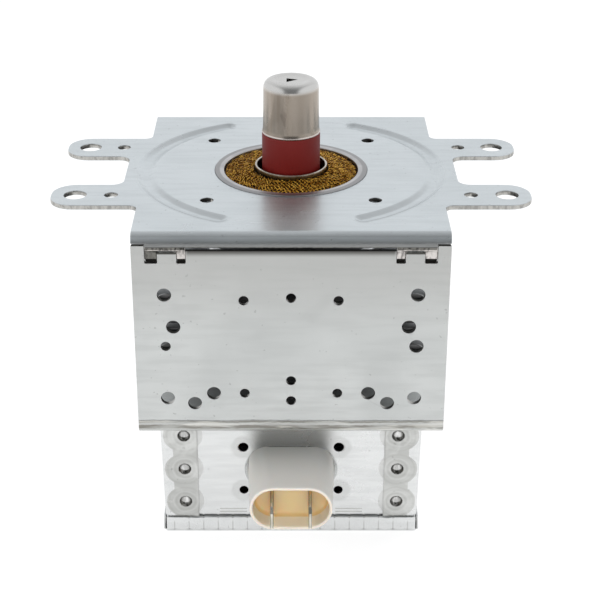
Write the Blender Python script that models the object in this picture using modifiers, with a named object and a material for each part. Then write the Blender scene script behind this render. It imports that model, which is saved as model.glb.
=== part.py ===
"""Magnetron of a microwave oven: a 2.45 GHz oscillator tube in its magnet yoke, with cooling fins
and a shielded filter box. Metres, +Z up. The origin lies on the antenna's axis, at the underside
of the filter box's lid, and the supply connector faces -Y."""
import math

import bmesh
import bpy
from mathutils import Vector, geometry

MM = 0.001

# Clearances
GAP = 0.3 * MM                     # between neighbouring pieces
MAGNET_CLEARANCE = 0.8 * MM        # magnet bore round the tube's necks
CERAMIC_CLEARANCE = 1.35 * MM      # neck bore round a ceramic
POLE_LEAD_CLEARANCE = 0.8 * MM     # pole piece's hole round the antenna
TIP_CLEARANCE = 1.0 * MM           # under the yoke plate's lugs
MATCH = 0.01 * MM                  # within which two radii count as equal

# Filter box and lid
LID_SHEET = 0.5 * MM
LID_SKIRT = 4.4 * MM
LID_BEND = 0.8 * MM
LID_CORNER_CUT = 1.4 * MM
FINGER_PITCH = 3.8 * MM
FINGER_SLIT = 0.35 * MM
BOX_WIDTH = 65.2 * MM
BOX_DEPTH = 77.2 * MM
BOX_HEIGHT = 32.2 * MM
BOX_SHEET = 0.6 * MM
BOX_CORNER = 1.0 * MM
FLAP_WIDTH = 8.7 * MM
CLINCH_INSET = 5.6 * MM            # from the box's side to a clinch's centre
CLINCH_ROWS = 3
CLINCH_TOP = 5.0 * MM              # from the box's top to the first clinch
CLINCH_BOTTOM = 7.3 * MM           # from the last clinch to the box's lower edge
CLINCH_PUNCH_R = 1.6 * MM
CLINCH_DEPTH = 0.9 * MM
CLINCH_RING_R = 3.4 * MM
CLINCH_RING_DEPTH = 0.12 * MM
VENT_SPACING_X = 24.4 * MM         # four vents centred on the socket
VENT_SPACING_Z = 12.8 * MM
UPPER_VENT_R = 1.3 * MM
LOWER_VENT_R = 1.15 * MM
RIB_LENGTH = 6.4 * MM
RIB_X = 15.0 * MM
RIB_HEIGHT = 1.3 * MM
RIB_RISE = 0.25 * MM
RIB_ABOVE_LID = 0.7 * MM

# Yoke frame and plate
YOKE_WIDTH = 76.0 * MM
YOKE_DEPTH = 88.0 * MM
FRAME_SHEET = 1.3 * MM
FRAME_BEND = 3.0 * MM              # outer radius
PLATE_SHEET = 1.25 * MM
PLATE_BEND = 3.2 * MM
PLATE_LIP = 3.3 * MM               # depth of the plate's bent edge
CORNER_LIP = 2.4 * MM              # the same beside the lugs
LUG_DEPTH = 6.0 * MM
SLOT_DEPTH = 3.9 * MM
SEAM = 0.8 * MM                    # open line between plate and wall
CORNER_SEAM = 0.5 * MM
NOTCH_INSET = 8.1 * MM             # from the yoke's side to the middle of a joint's notch
NOTCH_WIDTH = 9.8 * MM
TAB_SHIFT = -0.4 * MM              # tab's middle from the notch's, outwards
TAB_WIDTH = 4.6 * MM
FRAME_CORNER = 0.8 * MM

# Wall holes, as (inset from the yoke's side, distance from the plate's top or the underside)
WALL_HOLE_R = 1.7 * MM
PIN_HOLE_R = 1.2 * MM
UPPER_WALL_HOLES = ((7.55 * MM, 15.6 * MM), (9.5 * MM, 24.15 * MM))
UPPER_PIN_HOLE = (26.6 * MM, 17.1 * MM)
MIDDLE_PIN_DROP = 16.4 * MM
SIDE_HOLE = (7.5 * MM, 29.4 * MM)
LOWER_WALL_HOLES = ((7.6 * MM, 9.25 * MM), (14.25 * MM, 7.8 * MM), (19.0 * MM, 10.6 * MM))
LOWER_PIN_HOLE = (26.6 * MM, 10.6 * MM)
MIDDLE_PIN_HEIGHTS = (14.1 * MM, 8.5 * MM)

# Ears, bead and holes of the plate
EAR_LENGTH = 22.0 * MM             # beyond the plate's side
EAR_WIDTH = 14.0 * MM
EAR_PITCH = 34.6 * MM
EAR_SHIFT = -1.0 * MM
EAR_TIP_R = 6.0 * MM
EAR_ROOT = 4.7 * MM                # web between an ear pair, beyond the plate's side
EAR_ROOT_R = 3.0 * MM
EAR_FILLET = 2.0 * MM
EAR_HOLE_R = 2.85 * MM
EAR_HOLE_INSET = 6.0 * MM          # from the ear's tip
PILOT_HOLE_R = 1.7 * MM
PILOT_HOLE_OFFSET = 7.0 * MM       # beyond the plate's side
PLATE_HOLE_R = 1.65 * MM
PLATE_HOLE_INSET = 7.6 * MM        # inwards from the bead's middle line
PLATE_HOLE_ANGLE = math.radians(46.2)
BEAD_INSET = 4.9 * MM              # from the web's edge to the bead's middle line
BEAD_WIDTH = 4.1 * MM
BEAD_SLOPE = 0.9 * MM
BEAD_DEPTH = 0.8 * MM
BEAD_END_X = 17.45 * MM
BEAD_END_MARGIN = 7.3 * MM         # from the bead's end to the plate's bend

# Output side
CERAMIC_R = 7.5 * MM
CERAMIC_WALL = 1.6 * MM
CERAMIC_TOP = 10.3 * MM            # above the plate
CERAMIC_CHAMFER = 0.2 * MM
NECK_LIP = 1.6 * MM                # output neck above the plate
TUBE_SHEET = 0.5 * MM
FLANGE_INSET = 1.0 * MM            # container's flange inside the anode's outer edge
SHELF_WIDTH = 2.6 * MM
SHELF_DEPTH = 4.0 * MM             # from the plate's top down to the ceramic's shelf
CAP_HEIGHT = 13.7 * MM
CAP_SHEET = 0.4 * MM
CAP_TAPER = 0.45 * MM
CAP_EDGE_R = 2.0 * MM
CAP_FLARE = 0.9 * MM
CAP_DISH = 0.25 * MM               # depth of the top's shallow dish
CAP_DISH_R = 4.6 * MM
VENT_SIDE = 3.2 * MM
EXHAUST_R = 2.6 * MM
EXHAUST_WALL = 0.5 * MM
EXHAUST_HEIGHT = 9.0 * MM
GASKET_WIDTH = 7.45 * MM
GASKET_CROWN = 0.5 * MM
GASKET_RISE = 0.4 * MM             # of its inner edge above the plate
RING_SHEET = 0.45 * MM
RING_FLANGE = 2.2 * MM
RING_ROUND = 0.22 * MM
RING_STEP = 0.5 * MM               # coined seat in the plate

# Tube
MAGNET_R = 27.2 * MM
MAGNET_HEIGHT = 12.5 * MM
MAGNET_CHAMFER = 0.6 * MM
ANODE_R = 21.5 * MM
ANODE_WALL = 3.7 * MM
VANE_COUNT = 10
VANE_SHEET = 2.0 * MM
VANE_HEIGHT = 9.5 * MM
VANE_TIP_R = 4.6 * MM
STRAP_SHEET = 0.6 * MM
STRAP_HEIGHT = 0.9 * MM
STRAP_SPACE = 0.9 * MM
STRAP_INNER_R = 6.4 * MM
POLE_SHEET = 1.6 * MM
POLE_HOLE_R = 5.2 * MM
POLE_CONE_R = 12.5 * MM
POLE_CONE_DEPTH = 3.6 * MM
POLE_GAP = 1.375 * MM              # from the vanes' ends to a pole piece's nose
ANTENNA_FOOT_R = 11.0 * MM
ANTENNA_MARGIN = 1.15 * MM         # between the antenna and the output neck's bore
LEAD_R = 0.75 * MM
LEAD_X = 3.2 * MM
LEAD_JOG = 3.0 * MM                # centre lead's step below the anode
HAT_R = 4.4 * MM
HAT_SHEET = 0.9 * MM
HAT_MARGIN = 0.2 * MM              # hats stand off the vanes' ends
UPPER_HAT_R = 3.6 * MM
FILAMENT_R = 2.0 * MM
FILAMENT_WIRE_R = 0.25 * MM
FILAMENT_TURNS = 6
STEM_HEIGHT = 17.5 * MM
STEM_PIN = 4.0 * MM

# Cooling fins
FIN_COUNT = 5
FIN_SHEET = 0.6 * MM
FIN_WIDTH = 66.0 * MM
FIN_BEND = 1.2 * MM
FIN_TURN_UP = 3.0 * MM
FIN_CORNER = 3.0 * MM
FIN_TAB_WIDTH = 17.0 * MM          # turned-up part at each side of an end
COLLAR_MARGIN = 1.0 * MM           # from a collar's top to the next fin
COLLAR_BEND = 0.6 * MM
LOUVRE_WIDTH = 2.4 * MM
LOUVRE_LENGTH = 16.0 * MM
LOUVRE_Y = 30.0 * MM

# Connector, capacitor and chokes
SOCKET_RISE = 1.5 * MM             # socket's centre above the box's middle
SOCKET_BASE = (23.0 * MM, 12.8 * MM)
SOCKET_MOUTH = (20.7 * MM, 12.2 * MM)
SOCKET_BASE_R = 4.4 * MM
SOCKET_REACH = 18.8 * MM
SOCKET_NOSE = 4.0 * MM             # straight part at the mouth
SOCKET_FOOT = 2.0 * MM             # straight part at the box
SOCKET_WALL = 0.85 * MM
SOCKET_CAVITY = 5.3 * MM            # depth of the mouth
SOCKET_DRAFT = 0.4 * MM            # bore's narrowing to its floor
SOCKET_FLANGE = 2.4 * MM
SOCKET_FLANGE_SHEET = 1.4 * MM
BLADE_SHEET = 0.8 * MM
BLADE_HEIGHT = 6.3 * MM
BLADE_PITCH = 9.4 * MM
BLADE_PROUD = 5.1 * MM
BLADE_CHAMFER = 1.2 * MM
BLADE_TAIL = 5.0 * MM
CAPACITOR_SHEET = 0.8 * MM
CAPACITOR_DEPTH = 6.0 * MM
CAPACITOR_SIDE = 2.6 * MM
CHOKE_WIRE_R = 0.6 * MM
CHOKE_TURNS = 6
CHOKE_PITCH = 2.4 * MM
CHOKE_X = 13.0 * MM
ROD_R = 2.5 * MM
ROD_LENGTH = 18.0 * MM

# Fineness of round shapes
FINE = 36
MEDIUM = 28
SMALL = 16
COARSE = 10
WIRE_SIDES = 1

# Levels worked out from the stack of pieces
BOX_BOTTOM = LID_SHEET + GAP
BOX_TOP = BOX_BOTTOM + BOX_HEIGHT
FRAME_UNDERSIDE = BOX_TOP + GAP
FRAME_FLOOR = FRAME_UNDERSIDE + FRAME_SHEET
MAGNET_BOTTOM = FRAME_FLOOR + GAP
LOWER_FLANGE = MAGNET_BOTTOM + MAGNET_HEIGHT + GAP + TUBE_SHEET
ANODE_BOTTOM = LOWER_FLANGE + GAP
ANODE_TOP = ANODE_BOTTOM + VANE_HEIGHT + 2.0 * (POLE_GAP + POLE_CONE_DEPTH + POLE_SHEET)
UPPER_FLANGE = ANODE_TOP + GAP
MAGNET_TOP = UPPER_FLANGE + TUBE_SHEET + GAP + MAGNET_HEIGHT
PLATE_UNDERSIDE = MAGNET_TOP + GAP
PLATE_TOP = PLATE_UNDERSIDE + PLATE_SHEET
YOKE_HEIGHT = PLATE_TOP - FRAME_UNDERSIDE
ANODE_MIDDLE = 0.5 * (ANODE_TOP + ANODE_BOTTOM)
FIN_PITCH = (ANODE_TOP - ANODE_BOTTOM) / FIN_COUNT
SHELF_LEVEL = PLATE_TOP - SHELF_DEPTH
CERAMIC_BASE = SHELF_LEVEL + TUBE_SHEET + GAP
CAP_BASE = PLATE_TOP + CERAMIC_TOP + GAP
VANE_TOP = ANODE_MIDDLE + 0.5 * VANE_HEIGHT
VANE_BOTTOM = ANODE_MIDDLE - 0.5 * VANE_HEIGHT
STEM_NECK_END = BOX_TOP - BOX_SHEET - NECK_LIP
STEM_SHELF = FRAME_FLOOR
STEM_TOP = STEM_SHELF - TUBE_SHEET - GAP
STEM_BASE = STEM_TOP - STEM_HEIGHT
SOCKET_Z = BOX_BOTTOM + 0.5 * BOX_HEIGHT + SOCKET_RISE

# Radii and places tied to them
NECK_BORE = CERAMIC_R + CERAMIC_CLEARANCE
NECK_R = NECK_BORE + TUBE_SHEET
MAGNET_BORE = NECK_R + MAGNET_CLEARANCE
GASKET_INNER = NECK_R + GAP
GASKET_OUTER = GASKET_INNER + GASKET_WIDTH
RING_BORE = GASKET_OUTER + GAP
RING_OUTER = RING_BORE + RING_FLANGE
PLATE_OPENING = RING_BORE + RING_SHEET + GAP
ANODE_BORE = ANODE_R - ANODE_WALL
ANTENNA_X = NECK_BORE - LEAD_R - ANTENNA_MARGIN
NOTCH_X = 0.5 * YOKE_WIDTH - NOTCH_INSET
TAB_X = NOTCH_X + TAB_SHIFT
PLATE_FLAT = 0.5 * YOKE_DEPTH - PLATE_BEND
BEAD_RADIUS = 0.5 * YOKE_WIDTH + EAR_ROOT - BEAD_INSET
BEAD_HALF_ANGLE = math.atan2(PLATE_FLAT - BEAD_END_MARGIN, BEAD_END_X)
BOX_FRONT = -0.5 * BOX_DEPTH + BOX_SHEET
SOCKET_MOUTH_Y = BOX_FRONT - SOCKET_REACH
SOCKET_SEAT = BOX_FRONT + BOX_SHEET + GAP
SOCKET_BACK = SOCKET_SEAT + SOCKET_FLANGE_SHEET
CAPACITOR_FRONT = SOCKET_BACK + GAP + CAPACITOR_SHEET + GAP
CAPACITOR_BACK = CAPACITOR_FRONT + CAPACITOR_DEPTH
BLADE_END = CAPACITOR_BACK + BLADE_TAIL
BLADE_X = 0.5 * BLADE_PITCH


# Scene helpers

def clear_scene():
    """Remove every object of the open scene."""
    for item in list(bpy.data.objects):
        bpy.data.objects.remove(item, do_unlink=True)


def new_collection(name):
    collection = bpy.data.collections.new(name)
    bpy.context.scene.collection.children.link(collection)
    return collection


def surface(name, colour, roughness, metallic=0.0):
    """Make one Principled material."""
    material = bpy.data.materials.new(name)
    material.use_nodes = True
    shader = material.node_tree.nodes["Principled BSDF"]
    shader.inputs["Base Color"].default_value = (*colour, 1.0)
    shader.inputs["Roughness"].default_value = roughness
    shader.inputs["Metallic"].default_value = metallic
    material.diffuse_color = (*colour, 1.0)
    return material


def add_part(name, data, material):
    """Put a mesh or curve into the part under its own name and material."""
    part = bpy.data.objects.new(name, data)
    PARTS.objects.link(part)
    data.materials.append(material)
    part.parent = ROOT
    return part


def add_cutter(data):
    """Put a mesh into the cutters' collection, shown as wire and left out of renders."""
    cutter = bpy.data.objects.new("cutter", data)
    CUTTERS.objects.link(cutter)
    cutter.display_type = "WIRE"
    cutter.hide_render = True
    return cutter


def cut(part, *cutters):
    """Take the cutters' shapes out of a part."""
    for data in cutters:
        modifier = part.modifiers.new("cut", "BOOLEAN")
        modifier.operation = "DIFFERENCE"
        modifier.object = add_cutter(data)


def join(part, *pieces):
    """Fuse more shapes onto a part."""
    for data in pieces:
        modifier = part.modifiers.new("join", "BOOLEAN")
        modifier.operation = "UNION"
        modifier.object = add_cutter(data)


def mesh_from(bm, name="shape", smooth=False):
    mesh = bpy.data.meshes.new(name)
    bm.to_mesh(mesh)
    bm.free()
    if smooth:
        mesh.shade_smooth()
        mesh.set_sharp_from_angle(angle=math.radians(35))
    return mesh


def face_outwards(bm):
    """Turn a closed mesh's faces out, whichever way they were built."""
    if bm.calc_volume(signed=True) < 0.0:
        bmesh.ops.reverse_faces(bm, faces=bm.faces)


# Shape helpers

def block(low, high):
    """Make a box between two corners."""
    bm = bmesh.new()
    bmesh.ops.create_cube(bm, size=1.0)
    for vert in bm.verts:
        for axis in range(3):
            vert.co[axis] = high[axis] if vert.co[axis] > 0 else low[axis]
    return mesh_from(bm)


def drum(radius, centre, length, axis="Z", sides=COARSE):
    """Make a cylinder about an axis, its middle at the centre."""
    bm = bmesh.new()
    bmesh.ops.create_cone(bm, cap_ends=True, segments=sides, radius1=radius,
                          radius2=radius, depth=length)
    for vert in bm.verts:
        x, y, z = vert.co
        if axis == "X":
            x, y, z = z, x, y
        elif axis == "Y":
            x, y, z = y, z, x
        vert.co = (centre[0] + x, centre[1] + y, centre[2] + z)
    return mesh_from(bm, smooth=True)


def turned(name, profile, material, steps=FINE, closed=True):
    """Revolve a section about Z. Its outer side runs from top to bottom."""
    mesh = bpy.data.meshes.new(name)
    points = [(radius, 0.0, level) for radius, level in profile]
    edges = [(i, i + 1) for i in range(len(points) - 1)]
    if closed:
        edges.append((len(points) - 1, 0))
    mesh.from_pydata(points, edges, [])
    part = add_part(name, mesh, material)
    screw = part.modifiers.new("turn", "SCREW")
    screw.axis = "Z"
    screw.steps = steps
    screw.render_steps = steps
    screw.use_merge_vertices = True
    screw.merge_threshold = 0.00001
    screw.use_smooth_shade = True
    return part


def ring_section(inner, outer, bottom, top, chamfer=0.0):
    """Give a ring's rectangular section, with its four corners chamfered."""
    if chamfer == 0.0:
        return [(outer, top), (outer, bottom), (inner, bottom), (inner, top)]
    return [
        (outer - chamfer, top), (outer, top - chamfer),
        (outer, bottom + chamfer), (outer - chamfer, bottom),
        (inner + chamfer, bottom), (inner, bottom + chamfer),
        (inner, top - chamfer), (inner + chamfer, top),
    ]


def circle(centre_x, centre_y, radius, sides=COARSE):
    """Give a circle's points."""
    turns = [2.0 * math.pi * i / sides for i in range(sides)]
    return [(centre_x + radius * math.cos(a), centre_y + radius * math.sin(a)) for a in turns]


def rounded(corners, steps=4):
    """Give an outline whose corners (x, y, radius) are rounded by arcs."""
    outline = []
    count = len(corners)
    for i, (x, y, radius) in enumerate(corners):
        if radius == 0.0:
            outline.append((x, y))
            continue
        before = corners[i - 1]
        after = corners[(i + 1) % count]
        into = math.atan2(y - before[1], x - before[0])
        out = math.atan2(after[1] - y, after[0] - x)
        turn = math.remainder(out - into, 2.0 * math.pi)
        setback = radius * math.tan(0.5 * abs(turn))
        side = math.copysign(1.0, turn)
        centre_x = x - setback * math.cos(into) - side * radius * math.sin(into)
        centre_y = y - setback * math.sin(into) + side * radius * math.cos(into)
        for k in range(steps + 1):
            angle = into - side * 0.5 * math.pi + turn * k / steps
            outline.append((centre_x + radius * math.cos(angle), centre_y + radius * math.sin(angle)))
    return outline


def rounded_rectangle(width, height, radius, steps=6):
    half_width = 0.5 * width
    half_height = 0.5 * height
    corners = [
        (half_width, -half_height, radius), (half_width, half_height, radius),
        (-half_width, half_height, radius), (-half_width, -half_height, radius),
    ]
    return rounded(corners, steps)


def inside(outlines, x, y):
    """Tell whether a point lies inside a set of outlines, holes counted out."""
    crossings = 0
    for outline in outlines:
        for i, (x1, y1) in enumerate(outline):
            x0, y0 = outline[i - 1]
            if (y0 > y) != (y1 > y) and x < x0 + (x1 - x0) * (y - y0) / (y1 - y0):
                crossings += 1
    return crossings % 2 == 1


def flat_pattern(outlines, bends=()):
    """Fill a flat pattern as an open surface. Bends are (axis, place) lines that its faces follow."""
    points = []
    edges = []
    for outline in outlines:
        first = len(points)
        points += [Vector(point) for point in outline]
        edges += [(first + i, first + (i + 1) % len(outline)) for i in range(len(outline))]
    reach = 2.0 * max(max(abs(point.x), abs(point.y)) for point in points)
    for axis, place in bends:
        ends = [(place, -reach), (place, reach)] if axis == 0 else [(-reach, place), (reach, place)]
        edges.append((len(points), len(points) + 1))
        points += [Vector(point) for point in ends]
    filled = geometry.delaunay_2d_cdt(points, edges, [], 0, 0.0000001)
    bm = bmesh.new()
    verts = [bm.verts.new((point.x, point.y, 0.0)) for point in filled[0]]
    for face in filled[2]:
        middle = sum((filled[0][i] for i in face), Vector((0.0, 0.0))) / len(face)
        if inside(outlines, middle.x, middle.y):
            bm.faces.new([verts[i] for i in face])
    loose = [vert for vert in bm.verts if not vert.link_faces]
    bmesh.ops.delete(bm, geom=loose, context="VERTS")
    return bm


def slab(outlines, thickness, matrix_columns, origin):
    """Extrude an outline into a plate whose width, height and thickness follow three directions."""
    bm = flat_pattern(outlines)
    for vert in bm.verts:
        vert.co.z = -0.5 * thickness
    drawn = bmesh.ops.extrude_face_region(bm, geom=list(bm.faces), use_keep_orig=True)["geom"]
    for vert in (item for item in drawn if isinstance(item, bmesh.types.BMVert)):
        vert.co.z = 0.5 * thickness
    for vert in bm.verts:
        vert.co = [
            origin[k] + sum(vert.co[i] * matrix_columns[i][k] for i in range(3))
            for k in range(3)
        ]
    bmesh.ops.recalc_face_normals(bm, faces=bm.faces)
    face_outwards(bm)
    return mesh_from(bm)


FACING_Y = ((1, 0, 0), (0, 0, 1), (0, 1, 0))    # drawn in XZ, thick along Y
FACING_X = ((0, 1, 0), (0, 0, 1), (1, 0, 0))    # drawn in YZ, thick along X
FACING_Z = ((1, 0, 0), (0, 1, 0), (0, 0, 1))    # drawn in XY, thick along Z


def loft(sections):
    """Skin a row of outlines with equal point counts, each a list of 3D points, and cap the ends."""
    bm = bmesh.new()
    loops = [[bm.verts.new(point) for point in section] for section in sections]
    count = len(loops[0])
    for lower, upper in zip(loops, loops[1:]):
        for i in range(count):
            j = (i + 1) % count
            bm.faces.new((lower[i], lower[j], upper[j], upper[i]))
    bm.faces.new(loops[0])
    bm.faces.new(loops[-1])
    bmesh.ops.recalc_face_normals(bm, faces=bm.faces)
    face_outwards(bm)
    return mesh_from(bm, smooth=True)


def bend_lines(axis, flat_half, radius, steps=4):
    """Give the lines along which a pattern folds at both its ends."""
    runs = [flat_half + radius * 0.5 * math.pi * k / steps for k in range(steps + 1)]
    return [(axis, end * run) for end in (-1, 1) for run in runs]


def fold(bm, axis, flat_half, radius, side):
    """Bend a flat pattern's two ends along an axis: side 1 bends them up and -1 down."""
    for vert in bm.verts:
        run = abs(vert.co[axis]) - flat_half
        if run <= 0.0:
            continue
        angle = min(run / radius, 0.5 * math.pi)
        straight = max(run - 0.5 * math.pi * radius, 0.0)
        end = math.copysign(1.0, vert.co[axis])
        vert.co[axis] = end * (flat_half + radius * math.sin(angle))
        vert.co.z += side * (radius * (1.0 - math.cos(angle)) + straight)


def run_for_drop(drop, radius):
    """Give the pattern's length past the flat part that reaches a drop below its face."""
    if drop >= radius:
        return 0.5 * math.pi * radius + drop - radius
    return radius * math.acos(1.0 - drop / radius)


def sheet_part(name, bm, level, thickness, material, normal_up=True):
    """Make a sheet from an open surface that is its outer face, thickened inwards."""
    bmesh.ops.recalc_face_normals(bm, faces=bm.faces)
    bm.faces.ensure_lookup_table()
    flat = max(bm.faces, key=lambda face: abs(face.normal.z) * face.calc_area())
    if (flat.normal.z > 0.0) != normal_up:
        bmesh.ops.reverse_faces(bm, faces=bm.faces)
    for vert in bm.verts:
        vert.co.z += level
    part = add_part(name, mesh_from(bm, name, smooth=True), material)
    solid = part.modifiers.new("sheet", "SOLIDIFY")
    solid.thickness = thickness
    solid.offset = -1.0
    return part


def wire(name, points, radius, material):
    """Make a round wire along points."""
    curve = bpy.data.curves.new(name, "CURVE")
    curve.dimensions = "3D"
    curve.bevel_depth = radius
    curve.bevel_resolution = WIRE_SIDES
    curve.use_fill_caps = True
    spline = curve.splines.new("POLY")
    spline.points.add(len(points) - 1)
    for point, place in zip(spline.points, points):
        point.co = (*place, 1.0)
    return add_part(name, curve, material)


# Yoke

def mirrored(right_half):
    """Complete an outline given by its right half, front to rear."""
    left_half = [(-x, y, radius) for x, y, radius in reversed(right_half)]
    return right_half + left_half


def bead_outline(half_width, side):
    """Give a bead's outline: an arc band about the axis with round ends."""
    ends = COARSE // 2
    steps = 16
    points = []
    for k in range(steps + 1):
        angle = -BEAD_HALF_ANGLE + 2.0 * BEAD_HALF_ANGLE * k / steps
        points.append((BEAD_RADIUS + half_width, angle, 0.0))
    for k in range(1, ends):
        points.append((half_width, BEAD_HALF_ANGLE, math.pi * k / ends))
    for k in range(steps + 1):
        angle = BEAD_HALF_ANGLE - 2.0 * BEAD_HALF_ANGLE * k / steps
        points.append((BEAD_RADIUS - half_width, angle, 0.0))
    for k in range(1, ends):
        points.append((half_width, -BEAD_HALF_ANGLE, math.pi + math.pi * k / ends))
    outline = []
    for reach, angle, tip in points:
        if tip == 0.0:
            x = reach * math.cos(angle)
            y = reach * math.sin(angle)
        else:
            x = BEAD_RADIUS * math.cos(angle) + reach * math.cos(angle + tip)
            y = BEAD_RADIUS * math.sin(angle) + reach * math.sin(angle + tip)
        outline.append((side * x, y))
    return outline


def plate_outline(flat_half):
    """Give the plate's flat pattern: bent edges with lugs front and rear, ears left and right."""
    half = 0.5 * YOKE_WIDTH
    notch_in = NOTCH_X - 0.5 * NOTCH_WIDTH
    notch_out = NOTCH_X + 0.5 * NOTCH_WIDTH
    tab_in = TAB_X - 0.5 * TAB_WIDTH
    tab_out = TAB_X + 0.5 * TAB_WIDTH
    lip = flat_half + run_for_drop(PLATE_LIP, PLATE_BEND)
    lug = flat_half + run_for_drop(LUG_DEPTH, PLATE_BEND)
    slot = flat_half + run_for_drop(SLOT_DEPTH, PLATE_BEND)
    corner = flat_half + run_for_drop(CORNER_LIP, PLATE_BEND)
    edge = [
        (notch_in + GAP, lip, 0.0), (notch_in + GAP, lug, 0.0),
        (tab_in - GAP, lug, 0.0), (tab_in - GAP, slot, 0.0),
        (tab_out + GAP, slot, 0.0), (tab_out + GAP, lug, 0.0),
        (notch_out - GAP, lug, 0.0), (notch_out - GAP, corner, 0.0),
        (half, corner, 0.0),
    ]
    front = [(x, -y, radius) for x, y, radius in edge]
    tip = half + EAR_LENGTH
    root = half + EAR_ROOT
    tip_r = min(EAR_TIP_R, 0.49 * EAR_WIDTH)
    ears = []
    for middle, order in ((EAR_SHIFT - 0.5 * EAR_PITCH, 1), (EAR_SHIFT + 0.5 * EAR_PITCH, -1)):
        outer = middle - order * 0.5 * EAR_WIDTH
        inner = middle + order * 0.5 * EAR_WIDTH
        ear = [(half, outer, EAR_FILLET), (tip, outer, tip_r),
               (tip, inner, tip_r), (root, inner, EAR_ROOT_R)]
        ears += ear if order == 1 else list(reversed(ear))
    return rounded(mirrored(front + ears + list(reversed(edge))))


def make_yoke_plate():
    outlines = [plate_outline(PLATE_FLAT), circle(0.0, 0.0, PLATE_OPENING, FINE)]
    half = 0.5 * YOKE_WIDTH
    hole_reach = BEAD_RADIUS - PLATE_HOLE_INSET
    hole_x = hole_reach * math.cos(PLATE_HOLE_ANGLE)
    hole_y = hole_reach * math.sin(PLATE_HOLE_ANGLE)
    for side in (-1, 1):
        for end in (-1, 1):
            ear_y = EAR_SHIFT + end * 0.5 * EAR_PITCH
            outlines.append(circle(side * (half + EAR_LENGTH - EAR_HOLE_INSET), ear_y, EAR_HOLE_R, SMALL))
            outlines.append(circle(side * (half + PILOT_HOLE_OFFSET), ear_y, PILOT_HOLE_R))
            outlines.append(circle(side * hole_x, end * hole_y, PLATE_HOLE_R))
    rims = [bead_outline(0.5 * BEAD_WIDTH, side) for side in (-1, 1)]
    floors = [bead_outline(0.5 * BEAD_WIDTH - BEAD_SLOPE, side) for side in (-1, 1)]
    bm = flat_pattern(outlines + rims, bend_lines(1, PLATE_FLAT, PLATE_BEND))
    for rim, floor in zip(rims, floors):
        top = [bm.verts.new((x, y, 0.0)) for x, y in rim]
        low = [bm.verts.new((x, y, -BEAD_DEPTH)) for x, y in floor]
        for i in range(len(top)):
            j = (i + 1) % len(top)
            bm.faces.new((top[i], top[j], low[j], low[i]))
        bm.faces.new(low)
    bmesh.ops.remove_doubles(bm, verts=bm.verts, dist=0.000001)
    fold(bm, 1, PLATE_FLAT, PLATE_BEND, -1)
    plate = sheet_part("yoke_plate", bm, PLATE_TOP, PLATE_SHEET, ZINC)
    seat_r = RING_OUTER + GAP
    cut(plate, drum(seat_r, (0.0, 0.0, PLATE_TOP), 2.0 * RING_STEP, sides=FINE))


def wall_holes():
    """List the wall's holes as (x, height above the frame's underside, radius)."""
    half = 0.5 * YOKE_WIDTH
    holes = [(0.0, YOKE_HEIGHT - MIDDLE_PIN_DROP, PIN_HOLE_R)]
    holes += [(0.0, height, PIN_HOLE_R) for height in MIDDLE_PIN_HEIGHTS]
    for side in (-1, 1):
        for inset, drop in UPPER_WALL_HOLES:
            holes.append((side * (half - inset), YOKE_HEIGHT - drop, WALL_HOLE_R))
        for inset, height in LOWER_WALL_HOLES:
            holes.append((side * (half - inset), height, WALL_HOLE_R))
        inset, drop = UPPER_PIN_HOLE
        holes.append((side * (half - inset), YOKE_HEIGHT - drop, PIN_HOLE_R))
        inset, height = LOWER_PIN_HOLE
        holes.append((side * (half - inset), height, PIN_HOLE_R))
    inset, drop = SIDE_HOLE
    for side, radius in ((-1, PIN_HOLE_R), (1, WALL_HOLE_R)):
        holes.append((side * (half - inset), YOKE_HEIGHT - drop, radius))
    return holes


def make_yoke_frame():
    flat_half = 0.5 * YOKE_DEPTH - FRAME_BEND
    half = 0.5 * YOKE_WIDTH

    def run(height):
        return flat_half + run_for_drop(height, FRAME_BEND)

    top = run(YOKE_HEIGHT - PLATE_LIP - SEAM)
    notch = run(YOKE_HEIGHT - LUG_DEPTH - TIP_CLEARANCE)
    tab = run(YOKE_HEIGHT - SLOT_DEPTH - GAP)
    corner = run(YOKE_HEIGHT - CORNER_LIP - CORNER_SEAM)
    notch_in = NOTCH_X - 0.5 * NOTCH_WIDTH
    notch_out = NOTCH_X + 0.5 * NOTCH_WIDTH
    tab_in = TAB_X - 0.5 * TAB_WIDTH
    tab_out = TAB_X + 0.5 * TAB_WIDTH
    edge = [
        (notch_in, top, 0.0), (notch_in, notch, 0.0),
        (tab_in, notch, 0.0), (tab_in, tab, 0.0),
        (tab_out, tab, 0.0), (tab_out, notch, 0.0),
        (notch_out, notch, 0.0), (notch_out, corner, 0.0),
        (half, corner, FRAME_CORNER),
    ]
    front = [(x, -y, radius) for x, y, radius in edge]
    outlines = [rounded(mirrored(front + list(reversed(edge))), 3)]
    outlines.append(circle(0.0, 0.0, NECK_R + GAP, FINE))
    for x, height, radius in wall_holes():
        for end in (-1, 1):
            outlines.append(circle(x, end * run(height), radius))
    bm = flat_pattern(outlines, bend_lines(1, flat_half, FRAME_BEND))
    fold(bm, 1, flat_half, FRAME_BEND, 1)
    sheet_part("yoke_frame", bm, FRAME_UNDERSIDE, FRAME_SHEET, ZINC, normal_up=False)


# Magnets, anode and cathode

def make_magnets():
    for name, bottom in (("upper_magnet", MAGNET_TOP - MAGNET_HEIGHT), ("lower_magnet", MAGNET_BOTTOM)):
        section = ring_section(MAGNET_BORE, MAGNET_R, bottom, bottom + MAGNET_HEIGHT, MAGNET_CHAMFER)
        turned(name, section, FERRITE, FINE)


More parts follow.
